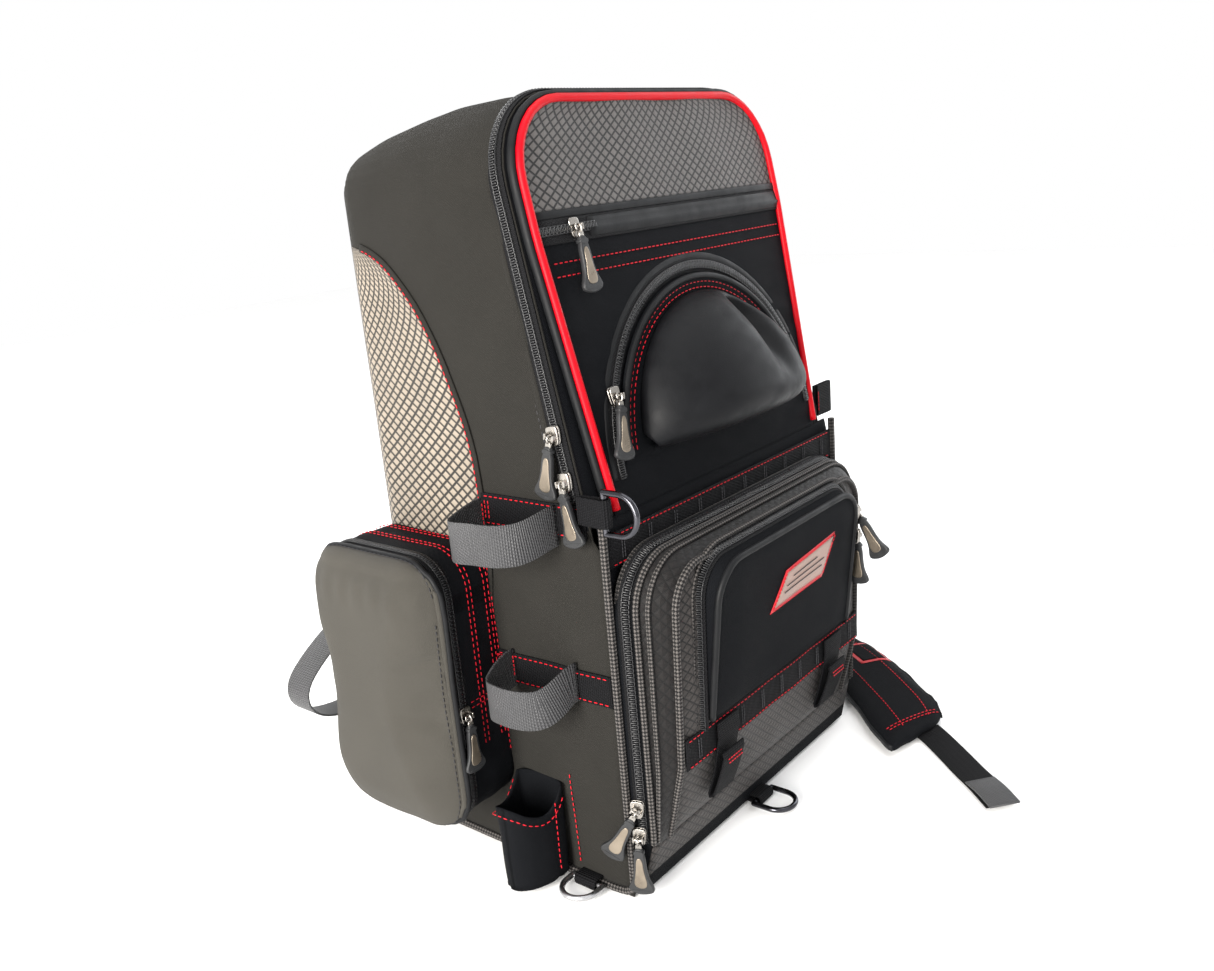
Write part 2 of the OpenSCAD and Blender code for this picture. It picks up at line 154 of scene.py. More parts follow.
class Piece:
    """Gathers the faces of one piece and makes its mesh."""

    def __init__(self, name, body, *materials):
        self.name, self.body, self.materials = name, body, materials
        self.verts, self.faces, self.uvs, self.slots = [], [], [], []

    def add(self, points, faces, uvs, mat=0):
        base = len(self.verts)
        self.verts += points
        for face in faces:
            self.faces.append([base + i for i in face])
            self.uvs += [uvs[i] for i in face]
            self.slots.append(mat)

    def grid(self, rows, mat=0, flip=False, wrap=False):
        """A sheet from rows of points, its UVs in real lengths."""
        wide, high = len(rows[0]), len(rows)
        mid = rows[high // 2]
        across = [0]
        for p, q in zip(mid, mid[1:]):
            across.append(across[-1] + (q - p).length)
        up, column = [0], wide // 2
        for p, q in zip(rows, rows[1:]):
            up.append(up[-1] + (q[column] - p[column]).length)
        points = [p for row in rows for p in row]
        uvs = [(across[i], up[j]) for j in range(high) for i in range(wide)]
        faces = []
        for j in range(high - 1):
            for i in range(wide if wrap else wide - 1):
                k = (i + 1) % wide
                face = [j * wide + i, j * wide + k, (j + 1) * wide + k, (j + 1) * wide + i]
                faces.append(face[::-1] if flip else face)
        self.add(points, faces, uvs, mat)

    def sweep(self, path, section, mat=0, loop=False):
        """Carries a closed section of (across, out) offsets along a path."""
        run, last = 0, None
        girth = [0]
        for (a, b), (c, d) in zip(section, section[1:] + section[:1]):
            girth.append(girth[-1] + math.hypot(c - a, d - b))
        n, points, uvs = len(section), [], []
        for p, _, b, out in frames(path, loop):
            run += (p - last).length if last else 0
            last = p
            for i in range(n + 1):
                x, y = section[i % n]
                points.append(p + b * x + out * y)
                uvs.append((girth[i], run))
        faces, count = [], len(path)
        for j in range(count if loop else count - 1):
            k = (j + 1) % count
            for i in range(n):
                a, b = i, (i + 1) % n
                faces.append([j * (n + 1) + a, j * (n + 1) + b, k * (n + 1) + b, k * (n + 1) + a])
        if not loop:
            faces.append(list(range(n)))
            faces.append([(count - 1) * (n + 1) + i for i in range(n)][::-1])
        self.add(points, faces, uvs, mat)

    def bead(self, centre, along, across, out, length, width, height, mat=0):
        """A small rounded bar, as a stitch or a coil tooth."""
        points, sides = [centre - along * length / 2], 6
        for t in (-0.34, 0.34):
            for a in turns(sides):
                ring = across * (math.cos(a) * width / 2) + out * (math.sin(a) * height / 2)
                points.append(centre + along * length * t + ring)
        points.append(centre + along * length / 2)
        faces = []
        for i in range(sides):
            k = (i + 1) % sides
            faces.append([0, 1 + k, 1 + i])
            faces.append([1 + i, 1 + k, 1 + sides + k, 1 + sides + i])
            faces.append([1 + sides + i, 1 + sides + k, 2 * sides + 1])
        self.add(points, faces, [(0, 0)] * len(points), mat)

    def make(self, slot, nodes=(), thick=0, offset=-1):
        """The finished object, riding on its body; thick gives a sheet its thickness."""
        mesh = bpy.data.meshes.new(self.name)
        mesh.from_pydata([p * MM for p in self.verts], [], self.faces)
        layer = mesh.uv_layers.new(name="UVMap")
        for i, (u, v) in enumerate(self.uvs):
            layer.data[i].uv = (u * MM, v * MM)
        for m in self.materials:
            mesh.materials.append(m)
        mesh.polygons.foreach_set("material_index", self.slots)
        mesh.polygons.foreach_set("use_smooth", [True] * len(self.faces))
        obj = bpy.data.objects.new(self.name, mesh)
        bpy.context.scene.collection.objects.link(obj)
        weld(mesh, not thick)
        if thick:
            solid = obj.modifiers.new("Thickness", "SOLIDIFY")
            solid.thickness = thick * MM
            solid.offset = offset
            solid.use_even_offset = False
        apply_modifiers(obj)
        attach(obj, self.body)
        if nodes:
            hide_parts(*nodes)
        return obj


def weld(mesh, closed):
    """Joins the doubled seam points of swept parts, and turns the faces of closed ones outwards."""
    bm = bmesh.new()
    bm.from_mesh(mesh)
    bmesh.ops.remove_doubles(bm, verts=bm.verts, dist=0.02 * MM)
    bmesh.ops.dissolve_degenerate(bm, edges=bm.edges, dist=0.01 * MM)
    if closed:
        bmesh.ops.recalc_face_normals(bm, faces=bm.faces)
    bm.to_mesh(mesh)
    bm.free()


def apply_modifiers(obj):
    if not obj.modifiers:
        return
    graph = bpy.context.evaluated_depsgraph_get()
    final = bpy.data.meshes.new_from_object(obj.evaluated_get(graph))
    obj.modifiers.clear()
    obj.data = final


def rounded_bar(width, height, lift=0.0, round_steps=4):
    """The section of a flat strip with rounded edges, lying on the cloth."""
    r, section = height / 2, []
    for side, start in ((1, -90), (-1, 90)):
        for i in range(round_steps + 1):
            a = math.radians(start + 180 * i / round_steps)
            x = side * (width / 2 - r) + math.cos(a) * r
            section.append((x, lift + r + math.sin(a) * r))
    return section


def circle_section(radius, sides=10, lift=0.0):
    """A round section for cords and piping."""
    return [(math.cos(a) * radius, lift + math.sin(a) * radius) for a in turns(sides)]


def panel(name, body, material, rows, slot="bag_cloth", nodes=(), thick=1.2, flip=False, offset=-1):
    """One sheet of cloth, from rows of points."""
    piece = Piece(name, body, material)
    piece.grid(rows, flip=flip)
    piece.make(slot, nodes, thick, offset)


def trim(name, body, material, path, section, slot="bag_cloth", nodes=(), loop=False):
    """One band, binding or piping: a section carried along a path."""
    piece = Piece(name, body, material)
    piece.sweep(path, section, loop=loop)
    piece.make(slot, nodes)


# Every body's stitches and zip coils gather in one piece each.
THREADS = {}
COILS = {}


def gathered(store, body, name, *materials):
    if body not in store:
        store[body] = Piece(f"{body}_{name}", body, *materials)
    return store[body]


def stitch(body, path, mat=0, step=4.4, length=3.0, lift=0.25):
    """A row of machine stitches along a path."""
    piece = gathered(THREADS, body, "stitches", RED_THREAD, BLACK_THREAD)
    for p, along, across, out in frames(resample(path, step))[1:-1]:
        piece.bead(p + out * lift, along, across, out, length, 0.75, 0.62, mat)


COIL_WIDTH = 5.2
COIL_PITCH = 1.5


def coil(body, path):
    """The meshed teeth of a closed coil zip along a path, with a cord along each edge."""
    piece = gathered(COILS, body, "coils", COIL)
    dense = resample(path, COIL_PITCH)
    for i, (p, along, across, out) in enumerate(frames(dense)):
        side = 1 if i % 2 else -1
        tooth = p + across * side * 0.5 + out * 0.9
        piece.bead(tooth, across, along, out, COIL_WIDTH, 1.15, 1.5)
    for side in (-1, 1):
        edge = shifted(dense[::3] + dense[-1:], across=side * COIL_WIDTH * 0.46)
        piece.sweep(edge, circle_section(0.55, 6, 0.6))


def zip_strip(body, name, path, width, nodes=()):
    """A zip's tape with its coil down the middle and a woven edge on both sides."""
    tape = Piece(name, body, TAPE)
    path = resample(path, 5)
    tape.sweep(path, rounded_bar(width, 0.9, 0.1))
    for side in (-1, 1):
        tape.sweep(shifted(path, across=side * width * 0.2), rounded_bar(1.6, 0.8, 0.7, 2))
    tape.make("zip_coil", nodes)
    coil(body, lifted(path, 1.0))


# Materials ----------------------------------------------------------------------------------


class Shade:
    """A material's node graph, built from short calls."""

    def __init__(self, name, rough=0.8, metallic=0.0, sheen=0.0, spec=0.5):
        self.mat = bpy.data.materials.new(name)
        self.mat.use_nodes = True
        self.tree = self.mat.node_tree
        self.surface = self.tree.nodes["Principled BSDF"]
        self.surface.inputs["Roughness"].default_value = rough
        self.surface.inputs["Metallic"].default_value = metallic
        self.surface.inputs["Sheen Weight"].default_value = sheen
        self.surface.inputs["Sheen Roughness"].default_value = 0.45
        self.surface.inputs["Specular IOR Level"].default_value = spec
        split = self.tree.nodes.new("ShaderNodeSeparateXYZ")
        self.tree.links.new(self.tree.nodes.new("ShaderNodeUVMap").outputs[0], split.inputs[0])
        self.u, self.v = split.outputs[0], split.outputs[1]
        self.place = self.tree.nodes.new("ShaderNodeTexCoord").outputs["Object"]

    def put(self, socket, value):
        if hasattr(value, "links"):
            self.tree.links.new(value, socket)
        else:
            socket.default_value = value

    def op(self, kind, a, b=0.0):
        node = self.tree.nodes.new("ShaderNodeMath")
        node.operation = kind
        self.put(node.inputs[0], a)
        self.put(node.inputs[1], b)
        return node.outputs[0]

    def wave(self, value, pitch):
        """From -1 to 1 and back in every pitch, in metres."""
        return self.op("SINE", self.op("MULTIPLY", value, math.tau / pitch))

    def cell(self, value, pitch):
        """Distance from the middle of each pitch-wide cell, 0 to 0.5."""
        part = self.op("FRACT", self.op("DIVIDE", value, pitch))
        return self.op("ABSOLUTE", self.op("SUBTRACT", part, 0.5))

    def noise(self, size, detail=2.0):
        node = self.tree.nodes.new("ShaderNodeTexNoise")
        self.tree.links.new(self.place, node.inputs["Vector"])
        node.inputs["Scale"].default_value = 1 / size
        node.inputs["Detail"].default_value = detail
        return node.outputs[0]

    def blend(self, amount, low, high):
        node = self.tree.nodes.new("ShaderNodeMix")
        node.data_type = "RGBA"
        self.put(node.inputs[0], amount)
        for socket, colour in ((node.inputs[6], low), (node.inputs[7], high)):
            self.put(socket, colour if hasattr(colour, "links") else (*colour, 1))
        return node.outputs[2]

    def ramp(self, value, low, high):
        node = self.tree.nodes.new("ShaderNodeMapRange")
        node.inputs[1].default_value = low
        node.inputs[2].default_value = high
        self.put(node.inputs[0], value)
        return node.outputs[0]

    def finish(self, colour, height=None, depth=0.0, rough=None):
        self.put(self.surface.inputs["Base Color"], colour)
        if height is not None:
            node = self.tree.nodes.new("ShaderNodeBump")
            node.inputs["Distance"].default_value = depth
            self.put(node.inputs["Height"], height)
            self.tree.links.new(node.outputs[0], self.surface.inputs["Normal"])
        if rough is not None:
            self.put(self.surface.inputs["Roughness"], rough)
        return self.mat


def scaled(colour, factor):
    return tuple(c * factor for c in colour)


def woven(name, colour, pitch=0.0011, rough=0.62, sheen=0.25, spec=0.4):
    """Plain-woven nylon: over-and-under threads, slight streaks, a dusty sheen."""
    s = Shade(name, rough, sheen=sheen, spec=spec)
    warp = s.wave(s.u, pitch)
    weft = s.wave(s.v, pitch)
    weave = s.op("MULTIPLY", warp, weft)
    streak = s.noise(0.0006, 1.0)
    cloud = s.noise(0.035, 3.0)
    shade = s.op("ADD", s.op("MULTIPLY", weave, 0.5), streak)
    tone = s.blend(s.ramp(shade, 0.0, 1.1), scaled(colour, 0.65), scaled(colour, 1.35))
    tone = s.blend(s.ramp(cloud, 0.3, 0.8), tone, scaled(colour, 1.12))
    rougher = s.ramp(cloud, 0.2, 0.9)
    rougher = s.op("ADD", s.op("MULTIPLY", rougher, 0.12), rough - 0.06)
    return s.finish(tone, s.op("ADD", weave, s.op("MULTIPLY", streak, 0.8)), 0.00016, rougher)


def diamond(name, fill, lines, pitch=0.0052, line_share=0.14):
    """Ripstop: pale cells between darker threads that cross as diamonds."""
    s = Shade(name, 0.55, sheen=0.04, spec=0.2)
    lean_u = s.op("MULTIPLY", s.u, 0.62)
    lean_v = s.op("MULTIPLY", s.v, 0.78)
    one = s.cell(s.op("ADD", lean_u, lean_v), pitch)
    two = s.cell(s.op("SUBTRACT", lean_u, lean_v), pitch)
    edge = s.op("MAXIMUM", one, two)
    dark = s.ramp(edge, 0.5 - line_share, 0.5 - line_share * 0.45)
    puff = s.op("SUBTRACT", 0.5, edge)
    grain = s.op("MULTIPLY", s.wave(s.u, 0.0009), s.wave(s.v, 0.0009))
    cloud = s.noise(0.02, 3.0)
    tone = s.blend(s.ramp(cloud, 0.25, 0.75), scaled(fill, 0.82), scaled(fill, 1.18))
    tone = s.blend(s.ramp(grain, -1.6, 2.2), scaled(fill, 0.8), tone)
    tone = s.blend(dark, tone, lines)
    height = s.op("ADD", s.op("MULTIPLY", puff, 1.6), s.op("MULTIPLY", grain, 0.12))
    return s.finish(tone, height, 0.0006)


def ribbed(name, colour, pitch=0.0016, rough=0.55, sheen=0.3, fuzz=0.0, spec=0.3):
    """Webbing: ribs across its width, with a fine chevron in each."""
    s = Shade(name, rough, sheen=sheen, spec=spec)
    ribs = s.wave(s.v, pitch)
    chevron = s.wave(s.op("ADD", s.u, s.op("MULTIPLY", s.v, 0.5)), pitch * 1.4)
    body = s.op("ADD", ribs, s.op("MULTIPLY", chevron, 0.6))
    hair = s.noise(0.0007 + fuzz * 0.001, 2.0)
    height = s.op("ADD", body, s.op("MULTIPLY", hair, 1 + fuzz * 4))
    tone = s.blend(s.ramp(height, -1.2, 2.6), scaled(colour, 0.55), scaled(colour, 1.5))
    return s.finish(tone, height, 0.00022)


def braided(name, colour, flecks, pitch=0.0032):
    """Patterned binding: short slanting flecks on a dark ground."""
    s = Shade(name, 0.6, sheen=0.03, spec=0.15)
    slant = s.wave(s.op("ADD", s.u, s.v), pitch)
    other = s.wave(s.op("SUBTRACT", s.u, s.v), pitch)
    weave = s.op("MULTIPLY", slant, other)
    tone = s.blend(s.ramp(weave, -0.1, 0.35), colour, flecks)
    return s.finish(tone, weave, 0.0004)


def plain(name, colour, rough=0.6, grain=0.0008, depth=0.0001, metallic=0.0, vary=0.18, spec=0.5):
    """A smooth finish with a fine grain and slight handling marks."""
    s = Shade(name, rough, metallic=metallic, spec=spec)
    fine = s.noise(grain, 2.0)
    cloud = s.noise(0.012, 4.0)
    tone = s.blend(s.ramp(cloud, 0.3, 0.75), scaled(colour, 1 - vary), scaled(colour, 1 + vary))
    worn = s.op("ADD", s.op("MULTIPLY", s.ramp(cloud, 0.35, 0.7), 0.16), rough - 0.08)
    return s.finish(tone, fine, depth, worn)


def thread(name, colour):
    """Twisted sewing thread."""
    s = Shade(name, 0.55, spec=0.2)
    twist = s.noise(0.0006, 1.0)
    tone = s.blend(twist, scaled(colour, 0.6), scaled(colour, 1.3))
    return s.finish(tone, twist, 0.0001)


def mesh_knit(name, colour):
    """Spacer mesh: small staggered holes in a soft knit."""
    s = Shade(name, 0.9, sheen=0.05, spec=0.12)
    a = s.wave(s.op("ADD", s.u, s.op("MULTIPLY", s.v, 0.5)), 0.0034)
    b = s.wave(s.op("SUBTRACT", s.u, s.op("MULTIPLY", s.v, 0.5)), 0.0034)
    holes = s.op("MULTIPLY", a, b)
    tone = s.blend(s.ramp(holes, -0.5, 0.6), scaled(colour, 1.5), scaled(colour, 0.35))
    return s.finish(tone, s.op("SUBTRACT", 0.0, holes), 0.0006)


SHELL_CLOTH = woven("shell_cloth", (0.0142, 0.0134, 0.0118), rough=0.78, sheen=0.02, spec=0.06)
FACE_CLOTH = woven("face_cloth", (0.0046, 0.005, 0.006), rough=0.66, sheen=0.0, spec=0.03)
COVER_CLOTH = woven("cover_cloth", (0.042, 0.0392, 0.0335), pitch=0.0009, rough=0.75, sheen=0.03, spec=0.1)
LINING = woven("lining_cloth", (0.014, 0.014, 0.0155), pitch=0.0008, rough=0.8, sheen=0.02, spec=0.12)
# The pale fill of this ripstop is painted light: the side inserts' cloth brightened as if lit by glare.
GLARE_PAINTED_RIPSTOP = diamond("glare_painted_ripstop", (0.23, 0.195, 0.155), (0.014, 0.0125, 0.011), 0.0058, 0.2)
GREY_RIPSTOP = diamond("grey_ripstop", (0.095, 0.087, 0.083), (0.006, 0.0058, 0.006), line_share=0.18)
BROWN_RIPSTOP = diamond("brown_ripstop", (0.036, 0.031, 0.029), (0.0045, 0.004, 0.004))
WALL_RIPSTOP = diamond("wall_ripstop", (0.006, 0.0048, 0.0046), (0.002, 0.0018, 0.0018))
WEBBING = ribbed("black_webbing", (0.0045, 0.0045, 0.0052), rough=0.7, sheen=0.0, spec=0.08)
GREY_WEBBING = ribbed("grey_webbing", (0.034, 0.034, 0.036), rough=0.45, sheen=0.02, spec=0.3)
FUZZ = ribbed("loop_pile", (0.008, 0.008, 0.0085), rough=0.95, sheen=0.1, fuzz=1.0, spec=0.1)
PIPING = braided("patterned_binding", (0.006, 0.0055, 0.0055), (0.075, 0.068, 0.064), pitch=0.0052)
TAPE = ribbed("zip_tape", (0.006, 0.006, 0.0068), pitch=0.0011, rough=0.75, sheen=0.0, spec=0.12)
COIL = plain("zip_coil", (0.008, 0.008, 0.009), rough=0.35, vary=0.3, spec=0.4)
RED_PIPING = plain("red_piping", (0.4, 0.0008, 0.006), rough=0.42, depth=0.00005, vary=0.08, spec=0.12)
BINDING = plain("black_binding", (0.0052, 0.0055, 0.0062), rough=0.55, depth=0.0001, spec=0.14)
MOULDED = plain("moulded_cloth", (0.0048, 0.005, 0.0058), rough=0.5, grain=0.0005, depth=0.00012, spec=0.1)
NICKEL = plain("nickel", (0.33, 0.31, 0.285), rough=0.28, metallic=1.0, depth=0.00004)
GUNMETAL = plain("gunmetal", (0.06, 0.06, 0.068), rough=0.25, metallic=1.0, depth=0.00003)
SILVER = plain("silver_ring", (0.42, 0.42, 0.43), rough=0.3, metallic=1.0, depth=0.00003)
RUBBER = plain("tab_rubber", (0.014, 0.0145, 0.0155), rough=0.5, depth=0.0001, spec=0.3)
INLAY = plain("tab_inlay", (0.22, 0.185, 0.145), rough=0.35, metallic=0.9, grain=0.0004, depth=0.00008)
RED_THREAD = thread("red_thread", (0.44, 0.003, 0.012))
BLACK_THREAD = thread("black_thread", (0.025, 0.025, 0.028))
SPACER = mesh_knit("spacer_mesh", (0.014, 0.0145, 0.016))
PATCH = plain("patch_face", (0.25, 0.165, 0.135), rough=0.5, depth=0.0001, vary=0.1)
PATCH_EDGE = plain("patch_edge", (0.42, 0.006, 0.012), rough=0.5, depth=0.0001)


# Shell --------------------------------------------------------------------------------------


LEG_POINTS, BEND_POINTS, CROWN_POINTS = 22, 8, 14


def arch_points(half, top, r, foot, foot_half=None, legs=LEG_POINTS, bend=BEND_POINTS, crown=CROWN_POINTS):
    """Up the left flank, over the arch and down the right: (x, z, way out) in the sloping front."""
    foot_half = half if foot_half is None else foot_half
    kink = top - r - 33
    left = []
    for z in span(foot, top - r, legs)[:-1]:
        t = min(1, (z - foot) / max(1, kink - foot))
        left.append((-mix(foot_half, half, t), z, -1.0, 0.0))
    for i in range(bend):
        a = math.radians(90 * i / bend)
        left.append((-half + r - r * math.cos(a), top - r + r * math.sin(a), -math.cos(a), math.sin(a)))
    across = [(x, top, 0.0, 1.0) for x in span(r - half, half - r, crown)]
    right = [(-x, z, -nx, nz) for x, z, nx, nz in left[::-1]]
    return left + across + right


SHELL_TOP, SHELL_R = 273.9, 54


def shell_front_edge():
    """The front edge of the shell: up the straight lower front and round the sloping arch."""
    path = [(Vector((-HALF_W, FRONT_Y, z)), Vector((-1, 0, 0))) for z in span(0.5, KNEE_Z - 5, LEG_POINTS)]
    for x, z, nx, nz in arch_points(HALF_W, SHELL_TOP, SHELL_R, 5):
        path.append((lean(x, 0.4, z), lean_way(nx, 0, nz)))
    path += [(Vector((HALF_W, FRONT_Y, z)), Vector((1, 0, 0))) for z in span(KNEE_Z - 5, 0.5, LEG_POINTS)]
    return path


def shell_back_edge():
    """The same number of points round the back panel's outline."""
    top, r, legs = 485, 24, 2 * LEG_POINTS
    path = [(Vector((-HALF_W, BACK_Y, z)), Vector((-1, 0, 0))) for z in span(0.5, top - r, legs)[:-1]]
    for i in range(BEND_POINTS):
        a = math.radians(90 * i / BEND_POINTS)
        place = Vector((-HALF_W + r - r * math.cos(a), BACK_Y, top - r + r * math.sin(a)))
        path.append((place, Vector((-math.cos(a), 0, math.sin(a)))))
    crown = [(Vector((x, BACK_Y, top)), UP) for x in span(r - HALF_W, HALF_W - r, CROWN_POINTS)]
    right = [(Vector((-p.x, p.y, p.z)), Vector((-n.x, n.y, n.z))) for p, n in path[::-1]]
    return path + crown + right


def front_y_at(z):
    """The depth of the shell's front edge at a height."""
    return FRONT_Y if z < KNEE_Z else RIM_Y + (z - KNEE_Z) * SIN_L / COS_L


def fullness(point, v):
    """How far the filled bag's cloth stands out: more in the middle, less at a seam."""
    swell = (2.6 + 5.0 * smooth((point.z - 290) / 90)) * math.sin(math.pi * v) * smooth(point.z / 90)
    folds = rumple(point, 46, 1.5) + rumple(point, 19, 0.45)
    seam = smooth(v / 0.12) * smooth((1 - v) / 0.1)
    return (swell + folds) * seam - 6 * bump_at(v, 1.0, 0.04)


def side_point(side, y, z, out=0.0):
    """A place on the outside of a side panel."""
    v = (y - front_y_at(z)) / (BACK_Y - front_y_at(z))
    base = Vector((-HALF_W, y, z))
    return Vector((side * (HALF_W + fullness(base, v) + out), y, z))


def side_path(side, spots, steps=10, out=0.0):
    """A path on a side panel through (y, z) spots."""
    path = []
    for (y0, z0), (y1, z1) in zip(spots, spots[1:]):
        for t in span(0, 1, steps):
            path.append((side_point(side, mix(y0, y1, t), mix(z0, z1, t), out), Vector((side, 0, 0))))
    return [path[0]] + [b for a, b in zip(path, path[1:]) if (b[0] - a[0]).length > 1e-6]


def shell_skin():
    """One sheet of cloth up the left side, over the top and down the right."""
    rows = []
    for (p, n), (q, m) in zip(shell_front_edge(), shell_back_edge()):
        row = []
        for v in span(0, 1, 30):
            place = p.lerp(q, v)
            out = n.lerp(m, v).normalized()
            on_left = Vector((-abs(place.x), place.y, place.z))
            sag = -3.0 * math.sin(math.pi * v) * smooth((place.z - 440) / 50) * (1 - abs(place.x) / HALF_W)
            row.append(place + out * (fullness(on_left, v) + sag))
        rows.append(row)
    nodes = ["left_side_panel", "right_side_panel", "top_gusset"]
    panel("shell_skin", "shell", SHELL_CLOTH, rows, "bag_cloth", nodes, 1.4, flip=True)


def back_wall():
    """The back panel with its rounded top, in lining cloth, and the sleeved frame sheet."""
    rows = []
    top, r = 478, 26
    heights = span(1.5, top - r, 20) + [top - r + r * math.sin(math.radians(a)) for a in range(10, 91, 10)]
    for z in heights:
        t = max(0, z - (top - r)) / r
        half = HALF_W - 7 - r + r * math.sqrt(max(0, 1 - t * t))
        row = []
        for x in span(-half, half, 24):
            row.append(Vector((x, BACK_Y - 0.4 - rumple((x, z, 0), 60, 1.0), z)))
        rows.append(row)
    panel("back_wall", "shell", LINING, rows, "lining_panel", ["back_panel"], 2.4, flip=True)
    sleeve = []
    for z in span(12, 440, 18):
        edge = smooth((z - 12) / 14) * smooth((440 - z) / 14)
        half = 118 - 14 * (1 - edge)
        sleeve.append([Vector((half * u, 86.5 - 1.4 * edge * (1 - u ** 8), z)) for u in span(-1, 1, 20)])
    panel("frame_sleeve", "shell", LINING, sleeve, "stiffener", ["frame_sheet"], 1.6)


def bottom_panel():
    """The base: one panel turned up a little at its edges."""
    rows = []
    for y in span(FRONT_Y + 1, BACK_Y - 1, 18):
        row = []
        for x in span(-HALF_W + 1, HALF_W - 1, 24):
            edge = min(HALF_W - abs(x), y - FRONT_Y, BACK_Y - y)
            row.append(Vector((x, y, 0.6 + 1.6 * (1 - smooth(edge / 10)) + rumple((x, y, 5), 30, 0.4) ** 2)))
        rows.append(row)
    panel("base_panel", "shell", LINING, rows, "bag_cloth", ["bottom_panel"], 2.2, offset=1)


def waist_wall():
    """The straight lower front, up to the foot of the flap."""
    rows = []
    across = span(0.4 - HALF_W, HALF_W - 0.4, 26)
    for z in span(1.5, KNEE_Z - 2, 22):
        rows.append([Vector((x, FRONT_Y + 0.8 - rumple((x, 0, z), 40, 0.8), z)) for x in across])
    for z in span(2, FLAP_FOOT + 1, 5):
        fold = rumple((0, 30, z), 9, 0.8)
        rows.append([lean(x, -5.6 + fold, z) for x in across])
    panel("waist_wall", "shell", FACE_CLOTH, rows, "bag_cloth", ["waist_panel"])


INSERT_Z, INSERT_RISE, INSERT_DEPTH = 250, 180, 104


def insert_edge(z):
    """How far forward the ripstop insert reaches at a height."""
    t = abs((z - INSERT_Z) / INSERT_RISE)
    return BACK_Y - INSERT_DEPTH * max(0, 1 - t ** 2.2) ** (1 / 2.2)


def ripstop_insert(side, name):
    """The ripstop panel let into the side, curved along its front edge; its pale fill is painted light, the
    glare of the key on a darker ripstop.
    """
    low, high = INSERT_Z - INSERT_RISE, INSERT_Z + INSERT_RISE
    heights = [INSERT_Z + INSERT_RISE * math.sin(math.radians(a)) for a in span(-90, 90, 44)]
    rows = []
    for z in heights:
        y0 = min(insert_edge(min(high, max(low, z))), BACK_Y - 2)
        rows.append([side_point(side, mix(y0, BACK_Y - 1.5, t), z, 0.7) for t in span(0, 1, 22)])
    panel(name, "shell", GLARE_PAINTED_RIPSTOP, rows, "ripstop", thick=0.8, flip=side < 0)
    edge = [(side_point(side, insert_edge(z) - 2.2, z, 0.8), Vector((side, 0, 0))) for z in heights[6:-2]]
    stitch("shell", edge, lift=1.2)
    stitch("shell", side_path(side, [(-14.4, 238), (-14.4, 82)], 30, 0.9))
    seam = resample(shifted(edge, across=1.2), 4)
    trim(name + "_seam", "shell", SHELL_CLOTH, seam, rounded_bar(5.5, 1.2, -0.4, 2))


def gusset_path(out, y, foot=31):
    """Along the arch's edge, facing sideways."""
    points = arch_points(HALF_W + out, SHELL_TOP + out, SHELL_R + out, foot)
    return [(lean(x, y, z), lean_way(nx, 0, nz)) for x, z, nx, nz in points]


def main_zip():
    """The zip round the arch with its sewn ridge and stitches."""
    zip_strip("shell", "main_zip_tape", gusset_path(0.4, 7.2), 12.5, ["main_zip"])
    seam = resample(gusset_path(0.6, 15.2), 4)
    trim("main_zip_seam", "shell", SHELL_CLOTH, seam, rounded_bar(4.5, 1.6, -0.3, 3))
    stitch("shell", gusset_path(1.2, 18.6), mat=1)


def side_bands(side, name, nodes=()):
    """The waist and lower webbing round a side, with red stitches on both edges and bar tacks."""
    band = Piece(name, "shell", WEBBING)
    for y1, z in ((-16, 261), (-13, 150)):
        y0 = front_y_at(z) + 2
        mid = side_path(side, [(y0, z), (y1, z)], 20, 0.3)
        band.sweep(resample(mid, 4), rounded_bar(22, 1.4))
        for edge in (-9, 9):
            stitch("shell", side_path(side, [(y0, z + edge), (y1, z + edge)], 16, 1.9))
        for y in (y1 - 3, y1 - 6):
            stitch("shell", side_path(side, [(y, z - 8), (y, z + 8)], 6, 1.9), step=3.2, length=2.6)
    band.make("webbing", nodes)


def waist_front_band():
    """The waist webbing across the front, with its edge stitches and pairs of black tacks."""
    z, y = 243, FRONT_Y - 0.6
    top = y - 1.6
    for edge in (-9.2, 9.2):
        stitch("shell", line((-139, top, z + edge), (139, top, z + edge), TO_FRONT))
    for x in range(-126, 127, 28):
        for d in (-1.2, 1.2):
            tack = line((x + d, top, z - 8), (x + d, top, z + 8), TO_FRONT)
            stitch("shell", tack, mat=1, step=2.2, length=2.4)
    mid = line((-141, y, z), (141, y, z), TO_FRONT, 60)
    trim("waist_bands_front", "shell", WEBBING, mid, rounded_bar(22, 1.5), "webbing", ["waist_band"])


def bands():
    side_bands(-1, "side_bands_left")
    side_bands(1, "side_bands_right", ["lower_band"])
    waist_front_band()


def front_edge_piping(side, name):
    """Patterned piping down the front corner of the lower body and round the base."""
    x = side * (HALF_W + 1.2)
    path = [(Vector((x, FRONT_Y - 1.8, z)), Vector((side, -1, 0)).normalized()) for z in span(262, 9, 40)]
    for t in span(3, 200, 36):
        path.append((Vector((x, FRONT_Y + 1 + t, mix(5, 3.2, min(1, t / 12)))), Vector((side, 0, 0))))
    trim(name, "shell", PIPING, resample(path, 4), circle_section(2.6, 10))


def flap_seat():
    """The cloth rim between the zip and the flap's edge, which the closed flap lies against."""
    outer = arch_points(HALF_W + 0.6, 274.5, 54.6, 12, HALF_W + 0.6)
    inner = arch_points(FLAP_HALF - 3, FLAP_TOP - 3, ARCH_R - 3, 12, FLAP_FOOT_HALF - 3)
    rows = []
    for t in span(0, 1, 6):
        row = []
        for (x0, z0, _, _), (x1, z1, _, _) in zip(outer, inner):
            row.append(lean(mix(x0, x1, t), 1.4 - 1.4 * smooth(t * 2), mix(z0, z1, t)))
        rows.append(row)
    panel("flap_seat", "shell", FACE_CLOTH, rows, thick=1.0, flip=True)


